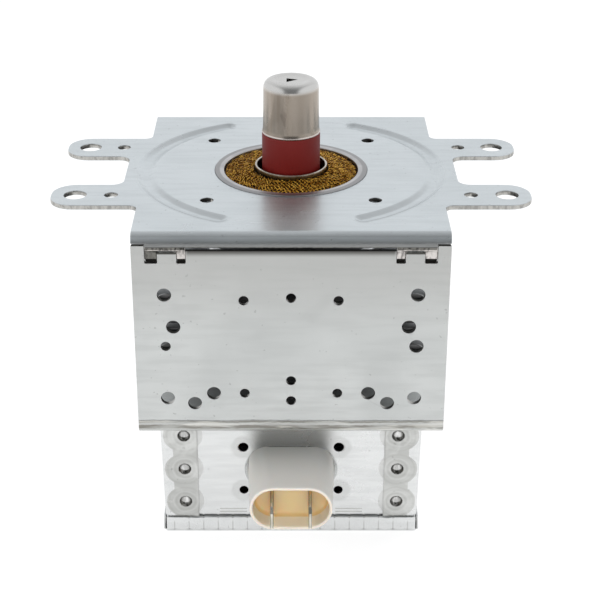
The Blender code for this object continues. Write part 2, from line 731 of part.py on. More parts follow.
def make_anode():
    section = ring_section(ANODE_BORE, ANODE_R, ANODE_BOTTOM, ANODE_TOP)
    turned("anode_cylinder", section, COPPER, MEDIUM)
    outer = ANODE_BORE - GAP
    notch_in = STRAP_INNER_R - GAP
    notch_out = STRAP_INNER_R + 2.0 * STRAP_SHEET + STRAP_SPACE + GAP
    notch_depth = STRAP_HEIGHT + GAP
    half = 0.5 * VANE_HEIGHT
    outline = [
        (VANE_TIP_R, -half), (notch_in, -half), (notch_in, notch_depth - half),
        (notch_out, notch_depth - half), (notch_out, -half), (outer, -half),
        (outer, half), (notch_out, half), (notch_out, half - notch_depth),
        (notch_in, half - notch_depth), (notch_in, half), (VANE_TIP_R, half),
    ]
    for i in range(VANE_COUNT):
        mesh = slab([outline], VANE_SHEET, FACING_Y, (0.0, 0.0, 0.0))
        vane = add_part(f"vane_{i + 1:02d}", mesh, COPPER)
        vane.location.z = ANODE_MIDDLE
        vane.rotation_euler.z = 2.0 * math.pi * i / VANE_COUNT
    outer_strap_r = STRAP_INNER_R + STRAP_SHEET + STRAP_SPACE
    for end, bottom in (("upper", VANE_TOP - STRAP_HEIGHT), ("lower", VANE_BOTTOM)):
        for place, radius in (("inner", STRAP_INNER_R), ("outer", outer_strap_r)):
            section = ring_section(radius, radius + STRAP_SHEET, bottom, bottom + STRAP_HEIGHT)
            turned(f"{end}_{place}_strap", section, COPPER, 2 * COARSE)


def pole_section(level, end):
    """Give a pole piece's section: a rim in the anode's end and a cone towards the vanes."""
    outer = ANODE_BORE - GAP
    cone = level - end * POLE_CONE_DEPTH
    section = [
        (outer, level), (outer, level - end * POLE_SHEET),
        (POLE_CONE_R, level - end * POLE_SHEET),
        (POLE_HOLE_R, cone - end * POLE_SHEET), (POLE_HOLE_R, cone),
        (POLE_CONE_R - POLE_SHEET, level),
    ]
    return section if end == 1 else list(reversed(section))


def make_pole_pieces():
    upper = turned("upper_pole_piece", pole_section(ANODE_TOP, 1), STEEL, MEDIUM)
    cut(upper, drum(LEAD_R + POLE_LEAD_CLEARANCE, (ANTENNA_X, 0.0, ANODE_TOP), 4.0 * POLE_CONE_DEPTH))
    turned("lower_pole_piece", pole_section(ANODE_BOTTOM, -1), STEEL, MEDIUM)


def neck_section(flange, lip, shelf, end):
    """Give a container's section: a flange on the anode and a neck with a shelf for its ceramic."""
    reach = ANODE_R - FLANGE_INSET
    shelf_in = NECK_BORE - SHELF_WIDTH
    section = [
        (NECK_R, lip), (NECK_R, flange + end * TUBE_SHEET),
        (reach, flange + end * TUBE_SHEET), (reach, flange),
        (NECK_BORE, flange), (NECK_BORE, shelf),
        (shelf_in, shelf), (shelf_in, shelf + end * TUBE_SHEET),
        (NECK_BORE, shelf + end * TUBE_SHEET), (NECK_BORE, lip),
    ]
    return section if end == 1 else list(reversed(section))


def make_necks():
    lip = PLATE_TOP + NECK_LIP
    turned("output_neck", neck_section(UPPER_FLANGE, lip, SHELF_LEVEL, 1), STEEL)
    turned("cathode_neck", neck_section(LOWER_FLANGE, STEM_NECK_END, STEM_SHELF, -1), STEEL, MEDIUM)


def make_output():
    """Make the ceramic, the exhaust tube that seals it, the antenna in them and the cap over them."""
    ceramic_top = PLATE_TOP + CERAMIC_TOP
    section = ring_section(CERAMIC_R - CERAMIC_WALL, CERAMIC_R, CERAMIC_BASE, ceramic_top, CERAMIC_CHAMFER)
    turned("output_ceramic", section, PINK_CERAMIC)
    seat = CAP_BASE
    bore = EXHAUST_R - EXHAUST_WALL
    rim = CERAMIC_R - CAP_TAPER - CAP_SHEET - GAP
    tube_top = seat + EXHAUST_HEIGHT
    section = [
        (0.0, tube_top), (0.5 * EXHAUST_R, tube_top), (EXHAUST_R, tube_top - EXHAUST_R),
        (EXHAUST_R, seat + EXHAUST_WALL), (rim, seat + EXHAUST_WALL), (rim, seat), (bore, seat),
        (bore, tube_top - EXHAUST_R - EXHAUST_WALL), (0.0, tube_top - EXHAUST_R),
    ]
    turned("exhaust_tube", section, COPPER, MEDIUM, closed=False)
    route = [
        (ANTENNA_FOOT_R, 0.0, VANE_TOP + GAP), (ANTENNA_FOOT_R, 0.0, VANE_TOP + GAP + LEAD_R),
        (ANTENNA_X, 0.0, VANE_TOP + 0.5 * POLE_CONE_DEPTH), (ANTENNA_X, 0.0, UPPER_FLANGE + POLE_CONE_DEPTH),
        (0.5 * LEAD_R, 0.0, SHELF_LEVEL - LEAD_R), (0.0, 0.0, SHELF_LEVEL + LEAD_R),
        (0.0, 0.0, tube_top - EXHAUST_R - EXHAUST_WALL - GAP),
    ]
    wire("antenna_lead", route, LEAD_R, COPPER)
    make_antenna_cap()


def make_antenna_cap():
    """Make the drawn cap: a flared skirt, tapered wall, rounded edge and dished, vented top."""
    top = CAP_BASE + CAP_HEIGHT
    shoulder = CERAMIC_R - CAP_TAPER
    dish_top = top - CAP_DISH
    section = [(0.0, dish_top), (CAP_DISH_R, dish_top), (CAP_DISH_R + CAP_DISH, top)]
    for k in range(5):
        angle = 0.5 * math.pi * (1.0 - k / 4)
        section.append((shoulder - CAP_EDGE_R * (1.0 - math.cos(angle)),
                        top - CAP_EDGE_R * (1.0 - math.sin(angle))))
    section += [
        (CERAMIC_R - 0.5 * CAP_TAPER, CAP_BASE + CAP_FLARE), (CERAMIC_R, CAP_BASE),
        (CERAMIC_R - CAP_SHEET, CAP_BASE), (shoulder - CAP_SHEET, top - CAP_EDGE_R),
        (shoulder - CAP_EDGE_R, dish_top - CAP_SHEET), (0.0, dish_top - CAP_SHEET),
    ]
    cap = turned("antenna_cap", section, NICKEL, FINE, closed=False)
    reach = VENT_SIDE / math.sqrt(3.0)
    cut(cap, slab([circle(0.0, 0.0, reach, 3)], 4.0 * CAP_SHEET, FACING_Z, (0.0, 0.0, top)))


def make_gasket():
    """Make the knitted gasket and the thin flanged ring that holds it in the plate."""
    base = PLATE_UNDERSIDE
    crown = PLATE_TOP
    shoulder = GASKET_WIDTH / 6.0
    section = [
        (GASKET_OUTER - shoulder, crown), (GASKET_OUTER, crown - GASKET_CROWN),
        (GASKET_OUTER, base), (GASKET_INNER, base),
        (GASKET_INNER, crown + GASKET_RISE - GASKET_CROWN),
        (GASKET_INNER + shoulder, crown + GASKET_RISE),
    ]
    turned("rf_gasket", section, BRASS_MESH)
    floor = PLATE_TOP - RING_STEP + GAP
    section = [
        (RING_OUTER - RING_ROUND, floor + RING_SHEET), (RING_OUTER, floor + 0.5 * RING_SHEET),
        (RING_OUTER, floor), (RING_BORE + RING_SHEET, floor), (RING_BORE + RING_SHEET, base),
        (RING_BORE, base), (RING_BORE, floor + 0.5 * RING_SHEET),
        (RING_BORE + RING_ROUND, floor + RING_SHEET),
    ]
    turned("gasket_ring", section, STEEL)


def make_cathode():
    """Make the filament between its two end hats, on two leads through the stem's ceramic."""
    upper_hat = VANE_TOP + HAT_MARGIN
    lower_hat = VANE_BOTTOM - HAT_MARGIN - HAT_SHEET
    lead_hole = LEAD_R + GAP
    hat = slab([circle(0.0, 0.0, UPPER_HAT_R, MEDIUM)], HAT_SHEET, FACING_Z,
               (0.0, 0.0, upper_hat + 0.5 * HAT_SHEET))
    add_part("upper_end_hat", hat, DARK_METAL)
    hat = slab([circle(0.0, 0.0, HAT_R, MEDIUM), circle(0.0, 0.0, lead_hole)], HAT_SHEET, FACING_Z,
               (0.0, 0.0, lower_hat + 0.5 * HAT_SHEET))
    add_part("lower_end_hat", hat, DARK_METAL)
    start = lower_hat + HAT_SHEET + GAP + FILAMENT_WIRE_R
    rise = upper_hat - GAP - FILAMENT_WIRE_R - start
    points = []
    per_turn = 7
    for i in range(FILAMENT_TURNS * per_turn + 1):
        angle = 2.0 * math.pi * i / per_turn
        level = start + rise * i / (FILAMENT_TURNS * per_turn)
        points.append((FILAMENT_R * math.cos(angle), FILAMENT_R * math.sin(angle), level))
    wire("filament", points, FILAMENT_WIRE_R, DARK_METAL)
    pin_end = STEM_BASE - STEM_PIN
    jog = LOWER_FLANGE - LEAD_JOG
    centre = [(-LEAD_X, 0.0, pin_end), (-LEAD_X, 0.0, jog - LEAD_X), (0.0, 0.0, jog),
              (0.0, 0.0, upper_hat - GAP)]
    wire("centre_lead", centre, LEAD_R, DARK_METAL)
    side = [(LEAD_X, 0.0, pin_end), (LEAD_X, 0.0, lower_hat - GAP)]
    wire("side_lead", side, LEAD_R, DARK_METAL)
    holes = [circle(end * LEAD_X, 0.0, lead_hole) for end in (-1, 1)]
    stem = slab([circle(0.0, 0.0, CERAMIC_R, FINE)] + holes, STEM_HEIGHT, FACING_Z,
                (0.0, 0.0, STEM_TOP - 0.5 * STEM_HEIGHT))
    add_part("stem_ceramic", stem, PINK_CERAMIC)


def make_fins():
    """Make the stack of fins: collars round the anode, ends turned up along the yoke's walls."""
    reach = 0.5 * YOKE_DEPTH - FRAME_SHEET - GAP - FIN_SHEET
    flat_half = reach - FIN_BEND
    end = flat_half + run_for_drop(FIN_TURN_UP, FIN_BEND)
    half = 0.5 * FIN_WIDTH
    collar_r = ANODE_R + GAP + FIN_SHEET
    tab_in = half - FIN_TAB_WIDTH
    cut_end = flat_half - FIN_BEND
    right = [
        (tab_in, -cut_end, 0.0), (tab_in, -end, 0.0), (half, -end, FIN_CORNER),
        (half, end, FIN_CORNER), (tab_in, end, 0.0), (tab_in, cut_end, 0.0),
    ]
    for i in range(FIN_COUNT):
        outlines = [rounded(mirrored(right)), circle(0.0, 0.0, collar_r + COLLAR_BEND, MEDIUM)]
        for row in (-1, 1):
            outlines.append([
                (-0.5 * LOUVRE_LENGTH, row * LOUVRE_Y), (0.5 * LOUVRE_LENGTH, row * LOUVRE_Y),
                (0.5 * LOUVRE_LENGTH, row * (LOUVRE_Y + LOUVRE_WIDTH)),
                (-0.5 * LOUVRE_LENGTH, row * (LOUVRE_Y + LOUVRE_WIDTH)),
            ])
        bm = flat_pattern(outlines, bend_lines(1, flat_half, FIN_BEND, 2))
        collar = [edge for edge in bm.edges
                  if all(abs(v.co.xy.length - collar_r - COLLAR_BEND) < MATCH for v in edge.verts)]
        for radius, rise in ((collar_r, COLLAR_BEND), (collar_r, FIN_PITCH - COLLAR_MARGIN)):
            drawn = bmesh.ops.extrude_edge_only(bm, edges=collar)["geom"]
            collar = [item for item in drawn if isinstance(item, bmesh.types.BMEdge)]
            for vert in (item for item in drawn if isinstance(item, bmesh.types.BMVert)):
                scale = radius / vert.co.xy.length
                vert.co = (vert.co.x * scale, vert.co.y * scale, rise)
        fold(bm, 1, flat_half, FIN_BEND, 1)
        level = ANODE_BOTTOM + FIN_SHEET + FIN_PITCH * i
        sheet_part(f"cooling_fin_{i + 1}", bm, level, FIN_SHEET, ALUMINIUM)


# Filter box

def make_filter_box():
    """Make the folded box: side flaps lapped over its front and rear and clinched to them."""
    bm = bmesh.new()
    bmesh.ops.create_cube(bm, size=1.0)
    half = (0.5 * BOX_WIDTH, 0.5 * BOX_DEPTH)
    for vert in bm.verts:
        vert.co.x = math.copysign(half[0], vert.co.x)
        vert.co.y = math.copysign(half[1], vert.co.y)
        vert.co.z = BOX_TOP if vert.co.z > 0 else BOX_BOTTOM
    rounds = [edge for edge in bm.edges if max(v.co.z for v in edge.verts) > BOX_BOTTOM]
    bmesh.ops.bevel(bm, geom=rounds, offset=BOX_CORNER, segments=2, affect="EDGES", profile=0.5)
    box = add_part("filter_box", mesh_from(bm), BRIGHT_SHEET)
    inner_x = half[0] - BOX_SHEET
    inner_y = half[1] - 2.0 * BOX_SHEET
    cut(box, block((-inner_x, -inner_y, BOX_BOTTOM - BOX_SHEET), (inner_x, inner_y, BOX_TOP - BOX_SHEET)))
    lap = half[0] - FLAP_WIDTH
    clinch_pitch = (BOX_HEIGHT - CLINCH_TOP - CLINCH_BOTTOM) / (CLINCH_ROWS - 1)
    low = BOX_BOTTOM - BOX_SHEET
    for end in (-1, 1):
        near = half[1] - BOX_SHEET
        far = half[1] + BOX_SHEET
        ys = sorted((end * near, end * far))
        cut(box, block((-lap, ys[0], low), (lap, ys[1], BOX_TOP - BOX_CORNER)))
        for side in (-1, 1):
            for row in range(CLINCH_ROWS):
                place = (side * (half[0] - CLINCH_INSET), end * half[1],
                         BOX_TOP - CLINCH_TOP - row * clinch_pitch)
                cut(box, drum(CLINCH_RING_R, place, 2.0 * CLINCH_RING_DEPTH, "Y", SMALL),
                    drum(CLINCH_PUNCH_R, place, 2.0 * CLINCH_DEPTH, "Y", COARSE))
    cut(box, drum(NECK_R + GAP, (0.0, 0.0, BOX_TOP), 4.0 * BOX_SHEET, "Z", FINE))
    window = rounded_rectangle(SOCKET_BASE[0] + 2.0 * GAP, SOCKET_BASE[1] + 2.0 * GAP, SOCKET_BASE_R + GAP)
    cut(box, slab([window], 6.0 * BOX_SHEET, FACING_Y, (0.0, -inner_y, SOCKET_Z)))
    for side in (-1, 1):
        for end, radius in ((1, UPPER_VENT_R), (-1, LOWER_VENT_R)):
            place = (side * 0.5 * VENT_SPACING_X, -inner_y, SOCKET_Z + end * 0.5 * VENT_SPACING_Z)
            cut(box, drum(radius, place, 6.0 * BOX_SHEET, "Y", COARSE))
        rib_low = LID_SKIRT + RIB_ABOVE_LID
        xs = sorted((side * (RIB_X - 0.5 * RIB_LENGTH), side * (RIB_X + 0.5 * RIB_LENGTH)))
        join(box, block((xs[0], BOX_FRONT - RIB_RISE, rib_low),
                        (xs[1], BOX_FRONT + 0.5 * BOX_SHEET, rib_low + RIB_HEIGHT)))


def make_lid():
    """Make the lid: four turned-up skirts, open at the corners, slit into spring fingers."""
    skirt = run_for_drop(LID_SKIRT, LID_BEND)
    reach_x = 0.5 * BOX_WIDTH + GAP + LID_SHEET
    reach_y = 0.5 * BOX_DEPTH + GAP + LID_SHEET
    flat_x = reach_x - LID_BEND
    flat_y = reach_y - LID_BEND
    corner_x = reach_x - LID_CORNER_CUT
    corner_y = reach_y - LID_CORNER_CUT

    def fingers(half_length, edge):
        """Give a skirt's slit edge from one end to the other, as (along, across) points."""
        count = int(half_length / FINGER_PITCH)
        depth = LID_SKIRT - LID_BEND - GAP
        points = [(-half_length, edge)]
        for k in range(-count + 1, count):
            along = k * FINGER_PITCH
            points += [(along - 0.5 * FINGER_SLIT, edge), (along, edge - depth),
                       (along + 0.5 * FINGER_SLIT, edge)]
        points.append((half_length, edge))
        return points

    ends = fingers(corner_x, flat_y + skirt)
    sides = fingers(corner_y, flat_x + skirt)
    outline = [(along, -across) for along, across in ends]
    outline.append((corner_x, -corner_y))
    outline += [(across, along) for along, across in sides]
    outline.append((corner_x, corner_y))
    outline += [(-along, across) for along, across in ends]
    outline.append((-corner_x, corner_y))
    outline += [(-across, -along) for along, across in sides]
    outline.append((-corner_x, -corner_y))
    bends = bend_lines(0, flat_x, LID_BEND, 2) + bend_lines(1, flat_y, LID_BEND, 2)
    bm = flat_pattern([outline], bends)
    fold(bm, 0, flat_x, LID_BEND, 1)
    fold(bm, 1, flat_y, LID_BEND, 1)
    sheet_part("filter_box_lid", bm, 0.0, LID_SHEET, BRIGHT_SHEET, normal_up=False)


def socket_outline(y, width, height, radius):
    return [(x, y, SOCKET_Z + z) for x, z in rounded_rectangle(width, height, radius)]


def cross_outline(width, height):
    """Give a plus-shaped outline that leaves the vents at its corners free."""
    arm_x = 0.5 * VENT_SPACING_X - SOCKET_FLANGE - UPPER_VENT_R
    arm_z = 0.5 * VENT_SPACING_Z - SOCKET_FLANGE - 0.5 * UPPER_VENT_R
    half_width = 0.5 * width
    half_height = 0.5 * height
    quarter = [(half_width, arm_z), (arm_x, arm_z), (arm_x, half_height)]
    top = quarter + [(-x, z) for x, z in reversed(quarter)]
    return top + [(-x, -z) for x, z in top]


def make_connector():
    """Make the moulded socket with its two blades, and the capacitor behind it."""
    base_width, base_height = SOCKET_BASE
    mouth_width, mouth_height = SOCKET_MOUTH
    body = loft([
        socket_outline(SOCKET_MOUTH_Y, mouth_width, mouth_height, 0.49 * mouth_height),
        socket_outline(SOCKET_MOUTH_Y + SOCKET_NOSE, mouth_width, mouth_height, 0.49 * mouth_height),
        socket_outline(BOX_FRONT - SOCKET_FOOT, base_width, base_height, SOCKET_BASE_R),
        socket_outline(SOCKET_SEAT + 0.5 * SOCKET_FLANGE_SHEET, base_width, base_height, SOCKET_BASE_R),
    ])
    housing = add_part("connector_housing", body, CREAM_PLASTIC)
    flange_width = base_width + 2.0 * SOCKET_FLANGE
    flange_height = base_height + 2.0 * SOCKET_FLANGE
    flange = cross_outline(flange_width, flange_height)
    join(housing, slab([flange], SOCKET_FLANGE_SHEET, FACING_Y,
                       (0.0, SOCKET_SEAT + 0.5 * SOCKET_FLANGE_SHEET, SOCKET_Z)))
    bore_width = mouth_width - 2.0 * SOCKET_WALL
    bore_height = mouth_height - 2.0 * SOCKET_WALL
    floor_y = SOCKET_MOUTH_Y + SOCKET_CAVITY
    cut(housing, loft([
        socket_outline(SOCKET_MOUTH_Y - SOCKET_CAVITY, bore_width, bore_height, 0.49 * bore_height),
        socket_outline(floor_y, bore_width - SOCKET_DRAFT, bore_height - SOCKET_DRAFT, 0.46 * bore_height),
    ]))
    slot_x = 0.5 * BLADE_SHEET + GAP
    slot_z = 0.5 * BLADE_HEIGHT + GAP
    for end in (-1, 1):
        cut(housing, block((end * BLADE_X - slot_x, floor_y - SOCKET_CAVITY, SOCKET_Z - slot_z),
                           (end * BLADE_X + slot_x, SOCKET_BACK + SOCKET_CAVITY, SOCKET_Z + slot_z)))
    tip = SOCKET_MOUTH_Y - BLADE_PROUD
    half = 0.5 * BLADE_HEIGHT
    blade = [
        (tip + BLADE_CHAMFER, -half), (BLADE_END, -half), (BLADE_END, half),
        (tip + BLADE_CHAMFER, half), (tip, half - BLADE_CHAMFER), (tip, BLADE_CHAMFER - half),
    ]
    slots = [rectangle(end * BLADE_X, 0.0, slot_x, slot_z) for end in (-1, 1)]
    for name, end in (("blade_left", -1), ("blade_right", 1)):
        add_part(name, slab([blade], BLADE_SHEET, FACING_X, (end * BLADE_X, 0.0, SOCKET_Z)), TIN)
    plate = [flange] + slots
    plate_y = SOCKET_BACK + GAP + 0.5 * CAPACITOR_SHEET
    add_part("capacitor_plate", slab(plate, CAPACITOR_SHEET, FACING_Y, (0.0, plate_y, SOCKET_Z)), STEEL)
    body_width = BLADE_PITCH + 2.0 * CAPACITOR_SIDE + BLADE_SHEET
    body_height = BLADE_HEIGHT + 2.0 * CAPACITOR_SIDE
    body = [rounded_rectangle(body_width, body_height, 0.3 * body_height)] + slots
    middle = CAPACITOR_FRONT + 0.5 * CAPACITOR_DEPTH
    add_part("capacitor_body", slab(body, CAPACITOR_DEPTH, FACING_Y, (0.0, middle, SOCKET_Z)), BLUE_CERAMIC)


def rectangle(x, y, half_width, half_height):
    return [(x - half_width, y - half_height), (x + half_width, y - half_height),
            (x + half_width, y + half_height), (x - half_width, y + half_height)]


def make_chokes():
    """Make two coils on ferrite rods, each from a blade's tail to a lead's pin."""
    coil_r = ROD_R + GAP + CHOKE_WIRE_R
    per_turn = 8
    pin_z = STEM_BASE - 0.5 * STEM_PIN
    start_y = BLADE_END + 2.0 * CHOKE_WIRE_R
    coil_length = CHOKE_TURNS * CHOKE_PITCH
    for name, side in (("left", -1), ("right", 1)):
        points = [(side * (BLADE_X + 0.5 * BLADE_SHEET + GAP + CHOKE_WIRE_R),
                   BLADE_END - 0.5 * BLADE_TAIL, pin_z)]
        for i in range(CHOKE_TURNS * per_turn + 1):
            angle = math.pi + 2.0 * math.pi * i / per_turn
            y = start_y + CHOKE_PITCH * i / per_turn
            points.append((side * (CHOKE_X + coil_r * math.cos(angle)), y,
                           pin_z + coil_r * math.sin(angle)))
        points.append((side * (LEAD_X + LEAD_R + GAP + CHOKE_WIRE_R), 0.0, pin_z))
        wire(f"choke_coil_{name}", points, CHOKE_WIRE_R, COPPER)
        middle = (side * CHOKE_X, start_y + 0.5 * coil_length, pin_z)
        add_part(f"ferrite_rod_{name}", drum(ROD_R, middle, ROD_LENGTH, "Y", SMALL), FERRITE)


clear_scene()
PARTS = new_collection("magnetron")
CUTTERS = new_collection("cutters")
ROOT = bpy.data.objects.new("magnetron_root", None)
PARTS.objects.link(ROOT)

ZINC = surface("zinc_plated_steel", (0.62, 0.65, 0.66), 0.42, 0.85)
BRIGHT_SHEET = surface("aluminised_sheet", (0.75, 0.75, 0.76), 0.28, 0.9)
STEEL = surface("plain_steel", (0.48, 0.45, 0.43), 0.35, 0.95)
NICKEL = surface("nickelled_steel", (0.45, 0.41, 0.38), 0.22, 1.0)
COPPER = surface("copper", (0.72, 0.36, 0.22), 0.3, 1.0)
ALUMINIUM = surface("aluminium", (0.78, 0.79, 0.8), 0.35, 0.95)
FERRITE = surface("ferrite", (0.05, 0.05, 0.055), 0.6)
DARK_METAL = surface("tungsten", (0.2, 0.2, 0.21), 0.4, 1.0)
BRASS_MESH = surface("brass_mesh", (0.42, 0.26, 0.08), 0.45, 0.8)
PINK_CERAMIC = surface("pink_ceramic", (0.33, 0.03, 0.04), 0.45)
BLUE_CERAMIC = surface("capacitor_ceramic", (0.1, 0.2, 0.35), 0.4)
CREAM_PLASTIC = surface("cream_plastic", (0.82, 0.76, 0.68), 0.4)
TIN = surface("tinned_brass", (0.7, 0.68, 0.62), 0.25, 1.0)

make_yoke_plate()
make_yoke_frame()
make_magnets()
make_anode()
make_pole_pieces()
make_necks()
make_output()
make_gasket()
make_cathode()
make_fins()
make_filter_box()
make_lid()
make_connector()
make_chokes()
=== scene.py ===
"""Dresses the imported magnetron: fine sheet metal, turned parts, knitted gasket, moulded socket,
procedural finishes, a pale studio and the photograph's camera. Metres, in the CAD's own frame."""

import math
import random

import bmesh
import bpy
import numpy as np
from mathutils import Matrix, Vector, geometry


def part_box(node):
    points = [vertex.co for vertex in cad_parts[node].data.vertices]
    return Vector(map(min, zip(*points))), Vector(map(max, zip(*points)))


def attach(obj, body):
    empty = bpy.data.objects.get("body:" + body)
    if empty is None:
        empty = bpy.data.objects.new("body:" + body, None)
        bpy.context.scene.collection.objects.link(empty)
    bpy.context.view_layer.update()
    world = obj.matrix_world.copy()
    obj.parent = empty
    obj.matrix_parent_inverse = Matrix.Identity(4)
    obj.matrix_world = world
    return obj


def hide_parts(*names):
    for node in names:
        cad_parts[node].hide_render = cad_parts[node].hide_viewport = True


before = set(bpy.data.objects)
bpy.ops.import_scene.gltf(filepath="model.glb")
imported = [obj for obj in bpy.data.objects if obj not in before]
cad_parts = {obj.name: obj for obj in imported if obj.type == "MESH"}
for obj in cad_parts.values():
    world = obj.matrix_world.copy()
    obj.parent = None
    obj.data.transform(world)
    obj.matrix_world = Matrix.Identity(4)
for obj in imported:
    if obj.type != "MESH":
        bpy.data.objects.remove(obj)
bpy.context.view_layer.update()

MM = 0.001
SEED = 11

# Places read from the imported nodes
PLATE_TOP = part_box("yoke_plate")[1].z
PLATE_SIDE = 38.0 * MM
EAR_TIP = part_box("yoke_plate")[1].x
YOKE_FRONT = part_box("yoke_frame")[0].y
YOKE_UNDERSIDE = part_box("yoke_frame")[0].z
BOX_LOW, BOX_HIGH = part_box("filter_box")
LID_LOW, LID_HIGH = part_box("filter_box_lid")
CAP_LOW, CAP_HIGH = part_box("antenna_cap")
SOCKET_LOW, SOCKET_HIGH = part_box("connector_housing")
RING_LOW, RING_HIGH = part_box("gasket_ring")
NECK_LOW, NECK_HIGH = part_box("output_neck")

# Yoke
PLATE_SHEET = 1.25 * MM
PLATE_BEND = 3.0 * MM
FRAME_SHEET = 1.3 * MM
FRAME_BEND = 1.45 * MM
FOOT_SAG = 0.65 * MM                # of the frame's lower bend
YOKE_DEPTH = 88.0 * MM
PLATE_LIP = 3.3 * MM
CORNER_LIP = 2.4 * MM
LUG_DEPTH = 6.3 * MM
SLOT_DEPTH = 4.3 * MM
LUG_END = 7.8 * MM                  # with its crushed foot
LUG_FOOT = 1.45 * MM
STRIP = 0.42 * MM                   # burnished, between the lugs
SEAM = 0.8 * MM                     # between the plate's lip and the wall
SLIT = 0.06 * MM
NOTCH_X = 29.9 * MM
NOTCH_WIDTH = 9.8 * MM
TAB_X = 29.5 * MM
TAB_WIDTH = 4.6 * MM
GAP = 0.3 * MM
EDGE = 0.14 * MM                   # rounding of sheared edges

# Ears, bead and holes
EAR_WIDTH = 14.0 * MM
EAR_PITCH = 34.6 * MM
EAR_SHIFT = -1.0 * MM
EAR_TIP_R = 6.0 * MM
EAR_ROOT = 4.7 * MM
EAR_ROOT_R = 3.0 * MM
EAR_FILLET = 2.0 * MM
EAR_HOLE_R = 2.85 * MM
EAR_HOLE_INSET = 6.0 * MM
PILOT_HOLE_R = 1.7 * MM
PILOT_X = 45.0 * MM
PLATE_HOLE_R = 1.65 * MM
PLATE_HOLE_X = 20.9 * MM
PLATE_HOLE_Y = 21.8 * MM
BEAD_RADIUS = 37.8 * MM
BEAD_HALF_ANGLE = math.radians(62.5)
BEAD_INNER = ((0.0, -0.80), (0.5, -0.76), (1.0, -0.62), (1.5, -0.40), (2.0, -0.17), (2.4, -0.04), (2.7, 0.0))
BEAD_OUTER = ((0.0, -0.80), (0.5, -0.76), (1.0, -0.62), (1.5, -0.36), (1.85, -0.12), (2.0, -0.05), (2.2, -0.11),
              (2.45, -0.02), (2.6, 0.0), (2.8, -0.05), (3.2, 0.0))
SEAT_R = 19.9 * MM
SEAT_DEPTH = 0.5 * MM
OPENING_R = 18.15 * MM

# Wall holes as (x, height above the yoke's underside, radius)
WALL_HOLES = [(0.0, 36.6, 1.2), (0.0, 14.1, 1.2), (0.0, 8.5, 1.2)]
for side in (-1, 1):
    WALL_HOLES += [
        (side * 30.45, 37.4, 1.7), (side * 28.5, 28.85, 1.7), (side * 30.4, 9.25, 1.7),
        (side * 23.75, 7.8, 1.7), (side * 19.0, 10.6, 1.7), (side * 11.4, 35.9, 1.2),
        (side * 11.4, 10.6, 1.2),
    ]
WALL_HOLES += [(-30.5, 23.6, 1.2), (30.5, 23.6, 1.7)]

# Filter box and lid
BOX_SHEET = 0.6 * MM
BOX_BEND = 1.0 * MM
FLAP_WIDTH = 8.7 * MM
SIDE_FLARE = 0.7 * MM               # of the side walls, at their top
CLINCH_INSET = 5.3 * MM
CLINCH_DROPS = (4.6 * MM, 14.4 * MM, 24.2 * MM)
VENT_X = 12.2 * MM
VENT_Z = (24.8 * MM, 12.0 * MM)
VENT_R = (1.3 * MM, 1.15 * MM)
SOCKET_Z = 18.4 * MM
SOCKET_MOUTH = (20.7 * MM, 12.2 * MM)
SOCKET_BASE = (21.9 * MM, 12.9 * MM)
SOCKET_WALL = 0.85 * MM
SOCKET_CAVITY = 5.3 * MM
SOCKET_COLLAR = (23.4 * MM, 13.2 * MM)
LID_SHEET = 0.5 * MM
LID_BEND = 0.8 * MM
LID_SKIRT = 4.4 * MM
FINGER_PITCH = 3.8 * MM

# Output side
CERAMIC_R = 7.5 * MM
NECK_BORE = 8.85 * MM
NECK_R = 9.35 * MM
SHELF_DEPTH = 4.0 * MM
MAGNET_BORE = 10.15 * MM
GASKET_INNER = 9.65 * MM
GASKET_OUTER = 17.1 * MM
GASKET_RISE = 0.42 * MM            # at the neck, above the plate
GASKET_FALL = 0.25 * MM            # at the ring, below the plate
WIRE_R = 0.115 * MM
ROW_PITCH = 0.93 * MM
STITCH_PITCH = 1.0 * MM

# Camera, fitted to the photograph
LENS = 93.78
SENSOR = 36.0
CAMERA_PLACE = (0.0, -0.3822, 0.2310)
CAMERA_PITCH = math.radians(64.463)
CAMERA_SHIFT = 0.0149


# Materials

